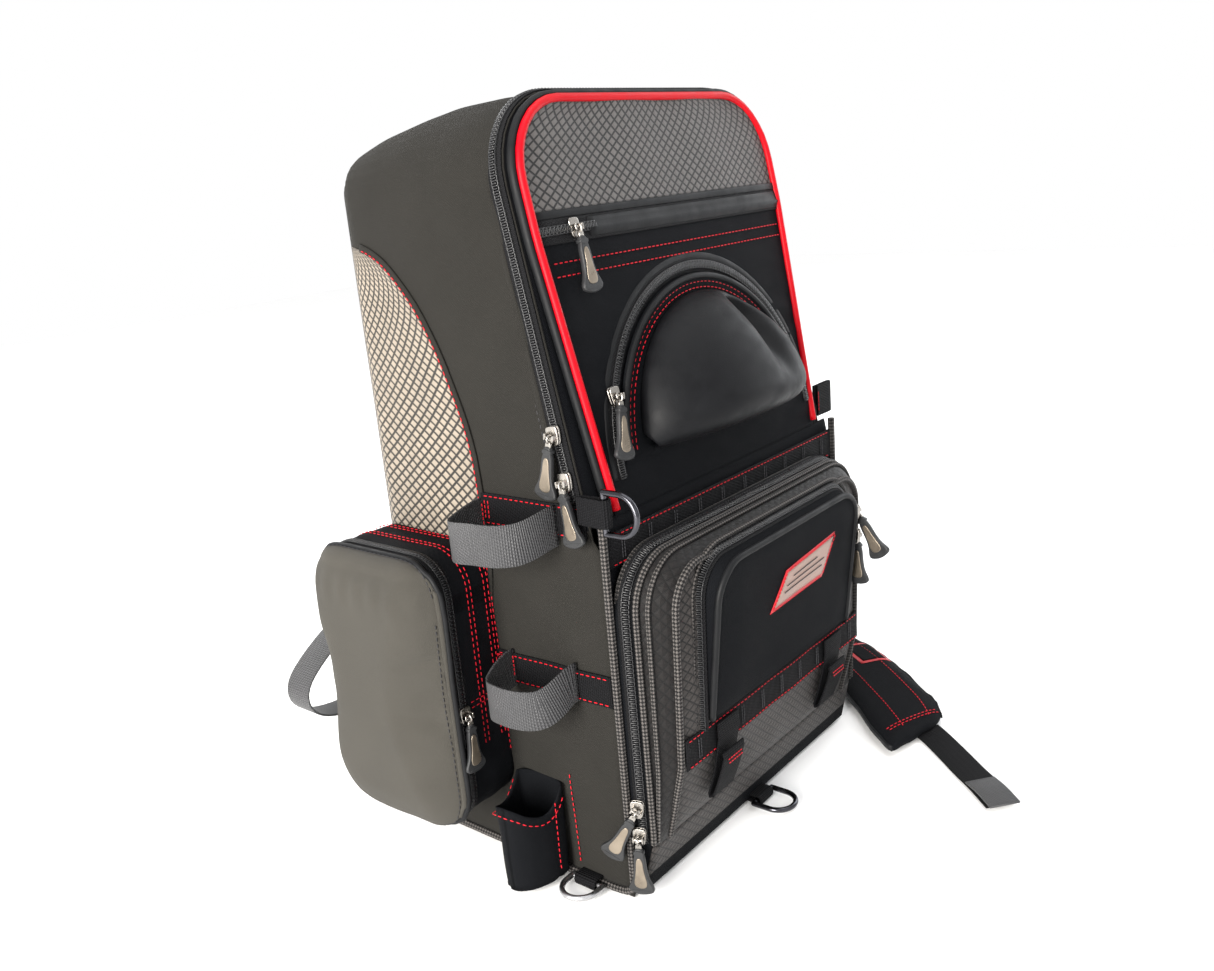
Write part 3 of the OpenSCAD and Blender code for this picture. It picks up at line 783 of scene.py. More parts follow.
def shell():
    shell_skin()
    flap_seat()
    back_wall()
    bottom_panel()
    waist_wall()
    for side, name in ((-1, "left"), (1, "right")):
        ripstop_insert(side, "insert_" + name)
        front_edge_piping(side, "edge_piping_" + name)
    main_zip()
    bands()


# Flap ---------------------------------------------------------------------------------------

FLAP_SPLIT = 190


def flap_face_y(x, z):
    """The flap's outer face: a slight crown, with soft vertical undulations in the ripstop."""
    edge = smooth((FLAP_HALF - abs(x)) / 26) * smooth((z - 18) / 14)
    crown = -1.4 * edge
    wave = math.sin(x / 13 + 0.5 * math.sin(z / 30)) * 0.5 * smooth((z - 196) / 20)
    creases = rumple((x, 0, z * 2.2), 26, 1.3) * smooth((170 - z) / 60)
    return -6.0 + crown + (wave + creases) * edge


def flap_rows(low, high, count, y_of):
    """Rows across the flap between two heights, drawn in a little from its outline."""
    rows = []
    for z in span(low, high, count):
        t = max(0, z - (FLAP_TOP - ARCH_R)) / ARCH_R
        bulge = ARCH_R * (math.sqrt(max(0, 1 - t * t)) - 1)
        half = mix(FLAP_FOOT_HALF, FLAP_HALF, min(1, (z - FLAP_FOOT) / 172)) + bulge - 1.5
        rows.append([lean(half * u, y_of(half * u, z), z) for u in span(-1, 1, 56)])
    return rows


def flap_outline(inset, y, foot):
    """Round the flap's edge, facing out of its slope."""
    points = arch_points(FLAP_HALF - inset, FLAP_TOP - inset, ARCH_R - inset, foot, FLAP_FOOT_HALF - inset)
    return [(lean(x, y, z), LEAN_OUT) for x, z, _, _ in points]


def lining_y(x, z):
    """The lining's depth behind the flap."""
    return -1.6 - rumple((x, 9, z), 40, 0.8)


def flap_panels():
    """The ripstop above the upper pocket, the plain cloth below it and the lining behind them."""
    upper = flap_rows(FLAP_SPLIT + 3, FLAP_TOP - 1.5, 34, flap_face_y)
    panel("flap_ripstop", "flap", GREY_RIPSTOP, upper, "ripstop", thick=1.0)
    lower = flap_rows(FLAP_FOOT, FLAP_SPLIT + 3.5, 90, flap_face_y)
    panel("flap_face", "flap", FACE_CLOTH, lower, "bag_cloth", ["main_flap"], 1.0)
    inner = flap_rows(FLAP_FOOT, FLAP_TOP - 1.5, 60, lining_y)
    panel("flap_lining", "flap", LINING, inner, "lining_panel", thick=0.8, flip=True)


def flap_edge():
    """Red piping round the arch, and the black binding between it and the zip."""
    piping = resample(flap_outline(2.4, -7.0, 19), 3.5)
    trim("flap_red_piping", "flap", RED_PIPING, piping, circle_section(2.7), "red_piping", ["flap_piping"])
    binding = resample(flap_outline(-1.2, -3.4, 17), 4)
    oval = [(2.1 * math.cos(a), 3.0 * math.sin(a)) for a in turns(12)]
    trim("flap_binding", "flap", BINDING, binding, oval)


def flap_line(z, x0, x1, out=0.0, steps=40):
    """A level line across the flap."""
    return [(lean(x, flap_face_y(x, z) - out, z), LEAN_OUT) for x in span(x0, x1, steps)]


WELT = [(7.4, 0.4), (6.6, 1.5), (4.4, 2.2), (2.6, 3.0), (1.2, 2.3), (-2, 1.9), (-4.8, 1.5), (-5.5, 0.2)]


def upper_zip():
    """The flat pocket's zip under its welt, and the two stitch lines below it."""
    trim("upper_zip_tape", "flap", TAPE, flap_line(189.5, -134, 134), rounded_bar(15, 1.0, 0.2), "zip_coil")
    coil("flap", flap_line(190, -134, -84, 1.0, 12))
    trim("upper_welt", "flap", BINDING, flap_line(190.5, -90, 134.5), WELT)
    trim("upper_hem", "flap", BINDING, flap_line(199.5, -134.5, 134.5), rounded_bar(5, 1.5, 0.0, 3))
    for z in (171, 163):
        stitch("flap", flap_line(z, -130, 132, 0.4), lift=0.2)


def case_arc(r, y, low=0, high=180):
    """Round the glasses case, facing out of the flap; a whole arch has short straight feet."""
    path = []
    for degrees in span(low, high, 64):
        a = math.radians(degrees)
        path.append((lean(CASE_X - r * math.cos(a), y, CASE_Z + r * math.sin(a)), LEAN_OUT))
    if low == 0 and high == 180:
        feet = span(-4, -1, 4)
        left = [(lean(CASE_X - r, y, CASE_Z + z), LEAN_OUT) for z in feet]
        right = [(lean(CASE_X + r, y, CASE_Z + z), LEAN_OUT) for z in feet[::-1]]
        path = left + path + right
    return path


def case_zip():
    """The round zip's tape on the flap, and the raised welt beside it."""
    zip_strip("flap", "case_zip_tape", case_arc(114.6, -6.8), 10)
    ridge = resample(case_arc(121.0, -6.6), 4)
    trim("case_zip_ridge", "flap", BINDING, ridge, rounded_bar(4.4, 1.7, -0.4, 4))


def flap():
    flap_panels()
    flap_edge()
    upper_zip()
    case_zip()


# Glasses case -------------------------------------------------------------------------------

DOME_R, DOME_H, DOME_LOW = 88, 45, 7


def dome_edge():
    """The dome's outline: a half circle on a straight foot with rounded ends."""
    outline = []
    for a in span(0, math.pi, 100):
        rise = DOME_R * math.sin(a)
        tuck = 11 * (1 - math.sqrt(1 - (1 - min(1, rise / 11)) ** 2))
        outline.append((math.cos(a) * (DOME_R - tuck), DOME_LOW + rise))
    reach = DOME_R - 13
    return outline + [(x, DOME_LOW) for x in span(-reach, reach, 50)]


def dome_height(x, z):
    """How far the moulded dome stands out: two full lobes with a valley between them."""
    rise = z - DOME_LOW
    r = math.hypot(x, rise) / DOME_R
    body = max(0, 1 - r ** 2.7) ** 0.56
    lip = (1 - (1 - min(1, max(0, rise) / 24)) ** 2.3) ** 0.5
    taper = 1 - 0.12 * smooth(rise / DOME_R)
    valley_x = 31 + (z - 55) * 0.1
    valley = 23 * smooth((z - 20) / 52) * math.exp(-((x - valley_x) / mix(9, 15, smooth(z / 80))) ** 2)
    left_pit = 5 * math.exp(-((x - 20) ** 2 + (z - 80) ** 2) / 120)
    knob = 4.5 * math.exp(-((x - 34) ** 2 + (z - 77) ** 2) / 26)
    return max(0.0, DOME_H * body * lip * taper - (valley + left_pit - knob) * smooth(body * 1.7))


def case_dome():
    """The moulded dome, in rings that crowd together towards its edge."""
    rows = []
    edge = dome_edge()
    edge.append(edge[0])
    for s in span(0, 1, 45):
        t = 0.4 * s + 0.6 * math.sin(math.pi / 2 * s)
        row = []
        for ex, ez in edge:
            x, z = mix(0, ex, t), mix(30, ez, t)
            height = dome_height(x, z)
            sag = 5.5 * smooth(height / DOME_H) * (1 - smooth((z - DOME_LOW) / 46))
            row.append(lean(CASE_X + x, -10.4 - height, CASE_Z + z - sag))
        rows.append(row)
    panel("case_dome", "case_lid", MOULDED, rows, "moulded_cloth", ["glasses_lid"], 1.6)


def case_flange():
    """The lid's flat rim round the dome, rolled at its edge, with a double row of red stitches."""
    rows = []
    for t in span(0, 1, 9):
        row = []
        for degrees in span(4, 176, 73):
            a = math.radians(degrees)
            r = mix(DOME_R - 8, CASE_R, t)
            roll = -1.6 * bump_at(t, 0.86, 0.14)
            row.append(lean(CASE_X - r * math.cos(a), -9.6 + roll, CASE_Z + r * math.sin(a)))
        rows.append(row)
    piece = Piece("case_flange", "case_lid", FACE_CLOTH)
    piece.grid(rows)
    foot, low = [], 2.5
    for z in span(low, 10, 6):
        y = -9.6 + 1.28 * bump_at(z, low, 4)
        row = []
        for x in span(1 - CASE_R, CASE_R - 1, 44):
            row.append(lean(CASE_X + x, y + rumple((x, 3, z), 11, 0.9), CASE_Z + z))
        foot.append(row)
    piece.grid(foot)
    piece.make("moulded_cloth", thick=2.2)
    rim = resample(case_arc(106.6, -9.8, 3, 177), 4)
    trim("case_rim", "case_lid", BINDING, rim, rounded_bar(4.2, 3.0, -0.6, 4))
    for r in (102.4, 98.6):
        stitch("case_lid", case_arc(r, -10.2, 4, 176), lift=0.2)


def glasses_case():
    case_dome()
    case_flange()


# Front pocket -------------------------------------------------------------------------------

RING_LEG = 22
RING_BEND = 9
RING_TOP = 18


def pocket_ring(half, top, r, y_at, foot, out_back=0.0):
    """An arch in the X-Z plane; y_at gives its depth at each height."""
    points = arch_points(half, top, r, foot, legs=RING_LEG, bend=RING_BEND, crown=RING_TOP)
    return [(Vector((x, y_at(z), z)), Vector((nx, out_back, nz)).normalized()) for x, z, nx, nz in points]


def face_y(z):
    """The front pocket's face: a steep foot, then nearly upright."""
    if z < 94:
        return mix(-118, -141, (z - 4) / 90) if z > 4 else -118.0
    return mix(-141, -146, (z - 94) / 131)


ZIP_Y = -127
RIM_TOP, ZIP_TOP, SEAM_TOP = 231, 237, 228
RIM_HALF, ZIP_HALF, SEAM_HALF = 142.5, 137, 119


def rim_ring(foot=3):
    """Where the pocket's wall leaves the shell."""
    return pocket_ring(RIM_HALF, RIM_TOP, 34, lambda z: FRONT_Y - 0.8, foot)


def zip_ring(foot=40, y=ZIP_Y, grow=0.0):
    """The ring along which the zip runs."""
    return pocket_ring(ZIP_HALF + grow, ZIP_TOP + grow, 34 + grow, lambda z: max(y, face_y(z)), foot, -0.3)


def seam_ring(foot=40, grow=0.0):
    """The seam round the pocket's face."""
    return pocket_ring(SEAM_HALF + grow, SEAM_TOP + grow, 26 + grow, lambda z: face_y(z) - 0.5, foot, -0.8)


def ring_rows(one, two, count, swell):
    """Rows between two rings of equal length, swelling outwards between them."""
    rows = []
    for t in span(0, 1, count):
        row = []
        for (p, n), (q, m) in zip(one, two):
            out = n.lerp(m, t).normalized()
            place = p.lerp(q, t)
            row.append(place + out * (swell + rumple(place, 21, 0.5)) * math.sin(math.pi * t))
        rows.append(row)
    return rows


def front_pocket_rim():
    """The part of the pocket's wall behind its zip, and the fixed foot of its face."""
    piece = Piece("front_pocket_back_wall", "shell", FACE_CLOTH, BROWN_RIPSTOP)
    foot = 5
    low_zip = pocket_ring(ZIP_HALF, ZIP_TOP, 34, lambda z: max(ZIP_Y + 0.6, face_y(z)), foot, -0.3)
    piece.grid(ring_rows(rim_ring(foot), low_zip, 6, 1.0), flip=True)
    for low, high, mat in ((4, 17, 0), (17, 39.4, 1)):
        rows = []
        for z in span(low, high, 6):
            half = mix(140.5, 137, (z - 4) / 36)
            rows.append([Vector((half * u, face_y(z), z)) for u in span(-1, 1, 30)])
        piece.grid(rows, mat)
    piece.make("bag_cloth", ["front_pocket_rim"], thick=1.2)


def pocket_zip():
    """The big zip round the pocket, lying on its sloping wall."""
    ring = [(p, (n + TO_FRONT * 0.25).normalized()) for p, n in zip_ring(44, ZIP_Y + 5.6, 1.4)]
    path = resample(ring, 4)
    trim("front_zip_tape", "shell", TAPE, path, rounded_bar(9.5, 1.0, 0.2), "zip_coil")
    coil("shell", lifted(path, 1.0))
    ridge = resample(zip_ring(10, ZIP_Y + 12.2, 1.8), 4)
    trim("front_zip_ridge", "shell", PIPING, ridge, circle_section(1.9, 8))


def front_cover():
    """The bellowed ripstop wall in front of the zip, and the ripstop face."""
    wall = ring_rows(zip_ring(41, ZIP_Y - 0.6), seam_ring(41), 12, 2.2)
    panel("front_cover_wall", "front_cover", WALL_RIPSTOP, wall, "ripstop", flip=True)
    ring = seam_ring(41)
    half = len(ring) // 2
    rows = []
    for p, _ in ring[:half]:
        width = -p.x
        row = []
        for u in span(-1, 1, 44):
            edge = smooth((1 - abs(u)) / 0.12) * smooth((SEAM_TOP - p.z) / 12) * smooth((p.z - 41) / 12)
            puff = -1.8 * edge + rumple((width * u, 0, p.z), 30, 1.4) * edge
            row.append(Vector((width * u, p.y + puff, p.z)))
        rows.append(row)
    panel("front_cover_face", "front_cover", BROWN_RIPSTOP, rows, "ripstop", ["front_pocket_cover"])
    lip = resample(zip_ring(44, ZIP_Y - 1.6, 0.6), 4)
    trim("front_lip_ridge", "front_cover", PIPING, lip, circle_section(2.2))
    trim("front_face_ridge", "front_cover", PIPING, resample(seam_ring(41, 0.8), 4), circle_section(2.5))
    between = []
    for (p, n), (q, m) in zip(zip_ring(44, ZIP_Y - 1.6, 0.6), seam_ring(44, 0.8)):
        between.append((p.lerp(q, 0.34) + n * 2.6, (n + m).normalized()))
    trim("front_wall_ridge", "front_cover", PIPING, resample(between, 4), circle_section(1.5, 8))


def pocket_band():
    """Webbing across the pocket's face with two lash straps sewn under it."""
    z = 102.5
    y = face_y(z) - 2.6
    path = [(Vector((x, y - rumple((x, 0, 0), 30, 0.6), z)), TO_FRONT) for x in span(-118, 118, 56)]
    band = rounded_bar(22, 1.5)
    trim("pocket_band", "front_cover", WEBBING, path, band, "webbing", ["pocket_webbing"])
    for edge in (-9.2, 9.2):
        stitch("front_cover", lifted(shifted(path, across=edge), 1.6))
    for x in range(-104, 105, 26):
        for d in (-1.2, 1.2):
            tack = line((x + d, y - 1.8, z - 8), (x + d, y - 1.8, z + 8), TO_FRONT)
            stitch("front_cover", tack, mat=1, step=2.2, length=2.4)
    for side, name in ((-1, "lash_strap_left"), (1, "lash_strap_right")):
        lash_strap(side * 73, name)


def lash_strap(x, name):
    """A strap folded back on itself: down the sloping foot, with a loop standing out."""
    down = [(111, -147.4), (100, -147.6), (90, -145.6), (78, -143.2), (66, -140.0), (56, -136.6)]
    back = [(53, -137.2), (55, -140.2), (66, -144.6), (78, -148.8), (86, -151.0), (92, -150.2)]
    route = []
    for (z0, y0), (z1, y1) in zip(down + back, (down + back)[1:]):
        way = Vector((0, y1 - y0, z1 - z0)).normalized()
        out = Vector((0, -abs(way.z), way.y if way.z < 0 else -way.y)).normalized()
        for t in span(0, 1, 4)[:-1]:
            route.append((Vector((x, mix(y0, y1, t), mix(z0, z1, t))), out))
    trim(name, "front_cover", WEBBING, route, rounded_bar(25, 1.5, -0.75), "webbing")
    for d in (0, 2.4):
        y, z = -151.6 - d * 0.2, 84 - d
        stitch("front_cover", line((x - 10, y, z), (x + 10, y, z), TO_FRONT), step=3.0, length=2.4)


SECOND_HALF, SECOND_LOW, SECOND_TOP, SECOND_R = 94, 118, 226, 24


def second_base_y(x, z):
    """The depth of the second pocket's back edge."""
    return face_y(z) - 2.0


def second_face_y(x, z):
    """The depth of the second pocket's face: full in the middle, flat at its edges."""
    t = (z - SECOND_LOW) / (218 - SECOND_LOW)
    front = mix(-149.5, -161.5, min(1, t))
    edge = smooth((SECOND_HALF - abs(x)) / 30) * smooth((SECOND_TOP - z) / 26)
    edge *= smooth((z - SECOND_LOW + 4) / 18)
    return front - 2.6 * edge + rumple((x * 0.6, 0, z), 44, 2.0) * edge


def second_ring(half, top, r, y_at, foot=SECOND_LOW, out=-0.4):
    """An arch round the second pocket."""
    points = arch_points(half, top, r, foot, legs=18, bend=9, crown=16)
    return [(Vector((x, y_at(x, z), z)), Vector((nx, out, nz)).normalized()) for x, z, nx, nz in points]


def second_pocket():
    """The plain cover, its wall, its zip and the blank patch."""
    base = second_ring(SECOND_HALF + 1, SECOND_TOP + 1, SECOND_R, second_base_y)
    lip = second_ring(SECOND_HALF - 2, SECOND_TOP - 2, SECOND_R, second_face_y, out=-1.0)
    lip = [(p + TO_BACK * 1.2, n) for p, n in lip]
    wall = Piece("second_pocket_wall", "second_cover", FACE_CLOTH)
    wall.grid(ring_rows(base, lip, 8, 1.0), flip=True)
    half = len(lip) // 2
    rows = []
    for p, _ in lip[:half]:
        rows.append([Vector((-p.x * u, second_face_y(p.x * u, p.z), p.z)) for u in span(-1, 1, 46)])
    wall.grid(rows)
    rows = []
    for y in span(second_base_y(0, SECOND_LOW), second_face_y(60, SECOND_LOW), 6):
        rows.append([Vector((x, y, SECOND_LOW)) for x in span(2 - SECOND_HALF, SECOND_HALF - 2, 20)])
    wall.grid(rows)
    wall.make("bag_cloth", ["second_pocket_cover"], thick=1.2)
    binding = resample(lifted(lip, 0.6), 4)
    trim("second_pocket_binding", "second_cover", BINDING, binding, circle_section(2.3))
    ring = second_ring(SECOND_HALF + 4.2, SECOND_TOP + 3.2, SECOND_R + 3, second_base_y, 112, 0)
    ring = [(p + TO_BACK * 0.2, n) for p, n in ring]
    flat = resample([(p, (n * 0.8 + TO_FRONT * 0.6).normalized()) for p, n in ring], 4)
    trim("second_zip_tape", "front_cover", TAPE, flat, rounded_bar(10, 1.0), "zip_coil")
    coil("front_cover", lifted(flat, 0.9))
    edge = resample([(p + TO_BACK * 0.6, n) for p, n in shifted(ring, out=5.2)], 4)
    trim("second_zip_edge", "front_cover", PIPING, edge, circle_section(1.7, 8))
    patch()


def patch():
    """A blank slanted patch with a sewn border, and three rows of black stitches across it."""
    corners = [(-33, 171), (37, 174), (57, 203), (-13, 196)]
    piece = Piece("pocket_patch", "second_cover", PATCH, PATCH_EDGE)

    def spot(u, v, out):
        a = Vector(corners[0]).lerp(Vector(corners[1]), u)
        b = Vector(corners[3]).lerp(Vector(corners[2]), u)
        p = a.lerp(b, v)
        return Vector((p.x, second_face_y(p.x, p.y) - out, p.y))
    for inset, out, mat in ((0.0, 0.7, 1), (0.1, 1.0, 0)):
        rows = []
        for v in span(inset, 1 - inset, 12):
            rows.append([spot(u, v, out) for u in span(inset * 0.4, 1 - inset * 0.4, 24)])
        piece.grid(rows, mat)
    piece.make("bag_cloth", thick=0.7)
    border = [spot(u, v, 1.1) for u, v in ((0.02, 0.04), (0.98, 0.04), (0.98, 0.96), (0.02, 0.96))]
    for p, q in zip(border, border[1:] + border[:1]):
        stitch("second_cover", line(p, q, TO_FRONT), step=2.6, length=2.2, lift=0.2)
    for v, u0, u1 in ((0.36, 0.12, 0.88), (0.52, 0.12, 0.88), (0.68, 0.2, 0.7)):
        row = [(spot(u, v, 1.2), TO_FRONT) for u in span(u0, u1, 12)]
        stitch("second_cover", row, mat=1, step=2.0, length=1.8)


def front_pocket():
    front_pocket_rim()
    pocket_zip()
    front_cover()
    pocket_band()
    second_pocket()


# Sliders and pulls --------------------------------------------------------------------------

# Name, whether it lies on the sloping front, place, turn about Z, and fan of its pull.
SLIDERS = [
    ("upper", True, (-104, -6.3, 190), 0, 0),
    ("case", True, (-105, -8.3, 86), 0, 13),
    ("main_a", True, (-145.3, 7, 73), -90, 22),
    ("main_b", True, (-145.3, 7, 44), -90, 0),
    ("side_left", False, (-184, -12.3, 128), 0, 0),
    ("side_right", False, (184, -12.3, 128), 0, 0),
    ("front_a", False, (-140.7, -120.3, 70), -69, 30),
    ("front_b", False, (-140.7, -120.3, 50), -69, 0),
    ("second_a", False, (96.9, -155, 203), 90, 30),
    ("second_b", False, (96.9, -155, 184), 90, 0),
]
PIN_OUT = 6.4


def slider_matrix(on_lean, place, turn, fan=0):
    """A slider's place and turn, on the slope or upright."""
    spin = Matrix.Rotation(math.radians(turn), 4, "Z") @ Matrix.Rotation(math.radians(fan), 4, "Y")
    if not on_lean:
        return Matrix.Translation(Vector(place)) @ spin
    base = Matrix.Translation(Vector((0, RIM_Y, KNEE_Z))) @ Matrix.Rotation(-LEAN, 4, "X")
    return base @ Matrix.Translation(Vector(place)) @ spin


def flat_tab(piece, outline, thick, mat, matrix, y=0.0):
    """A flat plate from a closed (x, z) outline, with both of its faces rounded over."""
    rings = []
    cx = sum(p[0] for p in outline) / len(outline)
    cz = sum(p[1] for p in outline) / len(outline)
    for depth, wide in ((-0.5, 0.86), (-0.5, 0.93), (-0.3, 1.0), (0.3, 1.0), (0.5, 0.93), (0.5, 0.86)):
        tall = 1 - (1 - wide) * 0.4
        ring = []
        for x, z in outline:
            ring.append(matrix @ Vector((cx + (x - cx) * wide, y + depth * thick, cz + (z - cz) * tall)))
        rings.append(ring)
    n, points = len(outline), [p for ring in rings for p in ring]
    faces = []
    for j in range(len(rings) - 1):
        for i in range(n):
            k = (i + 1) % n
            faces.append([j * n + i, (j + 1) * n + i, (j + 1) * n + k, j * n + k])
    faces.append(list(range(n)))
    faces.append([(len(rings) - 1) * n + i for i in range(n)][::-1])
    piece.add(points, faces, [(0, 0)] * len(points), mat)


def smooth_outline(points, steps=3):
    """Rounds the corners of a closed outline."""
    for _ in range(steps):
        rounded = []
        for (a, b), (c, d) in zip(points, points[1:] + points[:1]):
            rounded += [(mix(a, c, 0.25), mix(b, d, 0.25)), (mix(a, c, 0.75), mix(b, d, 0.75))]
        points = rounded
    return points


def slider(name, on_lean, place, turn, fan):
    """A cast slider: a waisted body on the coil and the bridge that carries the pin."""
    piece = Piece(name + "_slider_body", name + "_slider", NICKEL)
    m = slider_matrix(on_lean, place, turn)
    body = smooth_outline([(-4.6, 5.6), (-1.6, 6.2), (1.6, 6.2), (4.6, 5.6),
                           (4.3, 0), (3.2, -6), (-3.2, -6), (-4.3, 0)], 2)
    flat_tab(piece, body, 1.5, 0, m, y=-0.9)
    flat_tab(piece, body, 1.3, 0, m, y=-3.0)
    neck = smooth_outline([(-1.4, 5.6), (1.4, 5.6), (1.2, 1.0), (-1.2, 1.0)], 2)
    flat_tab(piece, neck, 2.4, 0, m, y=-2.0)
    f = slider_matrix(on_lean, place, turn, fan)
    for side in (-1, 1):
        lug = smooth_outline([(-0.6, 2.0), (0.6, 2.0), (0.6, -2.0), (-0.6, -2.0)], 1)
        flat_tab(piece, [(x + side * 3.1, z) for x, z in lug], 4.4, 0, f, y=-5.2)
    bar = [(f @ Vector((x, -PIN_OUT, 0)), f.to_3x3() @ TO_FRONT) for x in span(-3.7, 3.7, 6)]
    piece.sweep(bar, circle_section(0.9, 10))
    piece.make("nickel", [name + "_slider"])


def pull(name, on_lean, place, turn, fan):
    """A flared rubber tab moulded on a metal tongue, with a satin inlay on its face."""
    piece = Piece(name + "_pull_tab", name + "_pull", RUBBER, NICKEL, INLAY)
    m = slider_matrix(on_lean, place, turn, fan) @ Matrix.Translation(Vector((0, -PIN_OUT, 0)))
    neck = [(-2.6, -9), (-2.4, -5.5), (2.4, -5.5), (2.6, -9)]
    flare = [(3.8, -13), (4.2, -22), (5.4, -29), (9.2, -35.8), (7.2, -38.6), (0, -40.4),
             (-7.2, -38.6), (-9.2, -35.8), (-5.4, -29), (-4.2, -22), (-3.8, -13)]
    flat_tab(piece, smooth_outline(neck + flare, 2), 3.4, 0, m)
    collar = smooth_outline([(-3.4, -7.2), (3.4, -7.2), (3.6, -10.4), (-3.6, -10.4)], 1)
    flat_tab(piece, collar, 4.4, 0, m)
    inlay = smooth_outline([(-2.0, -12.5), (2.0, -12.5), (2.7, -23), (5.0, -33.2), (0, -35.4),
                            (-5.0, -33.2), (-2.7, -23)], 2)
    for y in (-1.75, 1.75):
        flat_tab(piece, inlay, 0.7, 2, m, y=y)
    groove = smooth_outline([(-6.6, -36.6), (6.6, -36.6), (5.8, -37.6), (-5.8, -37.6)], 1)
    for y in (-1.7, 1.7):
        flat_tab(piece, groove, 0.5, 0, m, y=y)
    out = m.to_3x3() @ Vector((1, 0, 0))
    eye = [(m @ Vector((0, 1.9 * math.sin(a), -1.0 + 2.4 * math.cos(a))), out) for a in turns(20)]
    piece.sweep(eye, circle_section(0.7, 8), 1, loop=True)
    shank = smooth_outline([(-1.9, -2.4), (1.9, -2.4), (2.2, -7), (-2.2, -7)], 1)
    flat_tab(piece, shank, 1.8, 1, m)
    piece.make("tab_rubber", [name + "_pull"])


def sliders():
    for entry in SLIDERS:
        slider(*entry)
        pull(*entry)


# Padded pieces ------------------------------------------------------------------------------


def lofted(name, rings):
    """A closed object through rings of points, with flat ends."""
    n, faces = len(rings[0]), []
    for j in range(len(rings) - 1):
        for i in range(n):
            k = (i + 1) % n
            faces.append([j * n + i, j * n + k, (j + 1) * n + k, (j + 1) * n + i])
    faces.append([i for i in range(n)][::-1])
    faces.append([(len(rings) - 1) * n + i for i in range(n)])
    mesh = bpy.data.meshes.new(name)
    mesh.from_pydata([p * MM for ring in rings for p in ring], [], faces)
    weld(mesh, True)
    obj = bpy.data.objects.new(name, mesh)
    bpy.context.scene.collection.objects.link(obj)
    return obj


SQUARENESS = 3.4


def cushion(name, stations):
    """A closed pad through (centre, wide way, out way, half width, half thickness)."""
    rings = []
    for centre, wide, out, half_w, half_t in stations:
        ring = []
        for a in turns(24):
            c, s = math.cos(a), math.sin(a)
            x = math.copysign(abs(c) ** (2 / SQUARENESS), c) * half_w
            y = math.copysign(abs(s) ** (2 / SQUARENESS), s) * half_t
            ring.append(centre + wide * x + out * y)
        rings.append(ring)
    return lofted(name, rings)


def inflate(obj, pressure, voxel, cap, hold=None, ways=(1, 1, 1)):
    """Remeshes a pad and lets the cloth solver fill it.

    No point moves further than the cap. hold gives the share of its move that a place keeps, and
    ways the share along X, Y and Z.
    """
    remesh = obj.modifiers.new("Remesh", "REMESH")
    remesh.mode = "VOXEL"
    remesh.voxel_size = voxel * MM
    apply_modifiers(obj)
    rest = [v.co.copy() for v in obj.data.vertices]
    cloth = obj.modifiers.new("Cloth", "CLOTH")
    cloth.settings.quality = 5
    cloth.settings.mass = 0.3
    cloth.settings.tension_stiffness = 12
    cloth.settings.compression_stiffness = 12
    cloth.settings.bending_stiffness = 0.6
    cloth.settings.use_pressure = True
    cloth.settings.uniform_pressure_force = pressure
    cloth.settings.effector_weights.gravity = 0
    for step in range(1, 21):
        bpy.context.scene.frame_set(step)
    graph = bpy.context.evaluated_depsgraph_get()
    blown = [v.co.copy() for v in obj.evaluated_get(graph).data.vertices]
    obj.modifiers.clear()
    for v, start, end in zip(obj.data.vertices, rest, blown):
        move = end - start
        share = min(1, cap * MM / max(move.length, 1e-9))
        keep = hold(start / MM) if hold else 1
        v.co = start + Vector(m * w for m, w in zip(move, ways)) * share * keep
    bpy.context.scene.frame_set(1)
    obj.modifiers.new("Even", "SMOOTH").iterations = 3
    obj.modifiers.new("Fine", "SUBSURF").levels = 1
    apply_modifiers(obj)


def press(obj, move):
    """Moves each point of a finished pad by a function of its place, in millimetres."""
    for v in obj.data.vertices:
        v.co += move(v.co / MM) * MM


def side_uvs(obj):
    """UVs in real lengths, laid on each face from the side it faces most."""
    mesh = obj.data
    layer = mesh.uv_layers.new(name="UVMap")
    for face in mesh.polygons:
        n = [abs(c) for c in face.normal]
        axes = ((1, 2), (0, 2), (0, 1))[n.index(max(n))]
        for i in face.loop_indices:
            co = mesh.vertices[mesh.loops[i].vertex_index].co
            layer.data[i].uv = (co[axes[0]], co[axes[1]])


def padded_piece(obj, body, material, nodes=()):
    side_uvs(obj)
    obj.data.materials.append(material)
    obj.data.polygons.foreach_set("use_smooth", [True] * len(obj.data.polygons))
    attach(obj, body)
    if nodes:
        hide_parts(*nodes)


def laid_on(obj, path, lift=0.2, reach=30):
    """The path dropped onto a pad's surface."""
    graph = bpy.context.evaluated_depsgraph_get()
    tree = BVHTree.FromObject(obj, graph)
    found = []
    for p, out in path:
        hit = tree.ray_cast((p + out * reach) * MM, -out, 2 * reach * MM)
        found.append((hit[0] / MM + out * lift if hit[0] else p, out))
    return found


def hugged(obj, path, lift=0.0):
    """The path drawn in to the nearest part of a pad's surface."""
    tree = BVHTree.FromObject(obj, bpy.context.evaluated_depsgraph_get())
    return [(tree.find_nearest(p * MM)[0] / MM + out * lift, out) for p, out in path]


def mirrored(obj, name):
    """A copy of a pad on the other side of the bag."""
    copy = obj.data.copy()
    copy.transform(Matrix.Scale(-1, 4, Vector((1, 0, 0))))
    copy.flip_normals()
    other = bpy.data.objects.new(name, copy)
    bpy.context.scene.collection.objects.link(other)
    return other


# Side pockets -------------------------------------------------------------------------------

SIDE_Y0, SIDE_Y1, SIDE_Z0, SIDE_Z1 = -12, 100, 48, 235
COVER_X0 = 190.6


CORNER_STEPS = 9


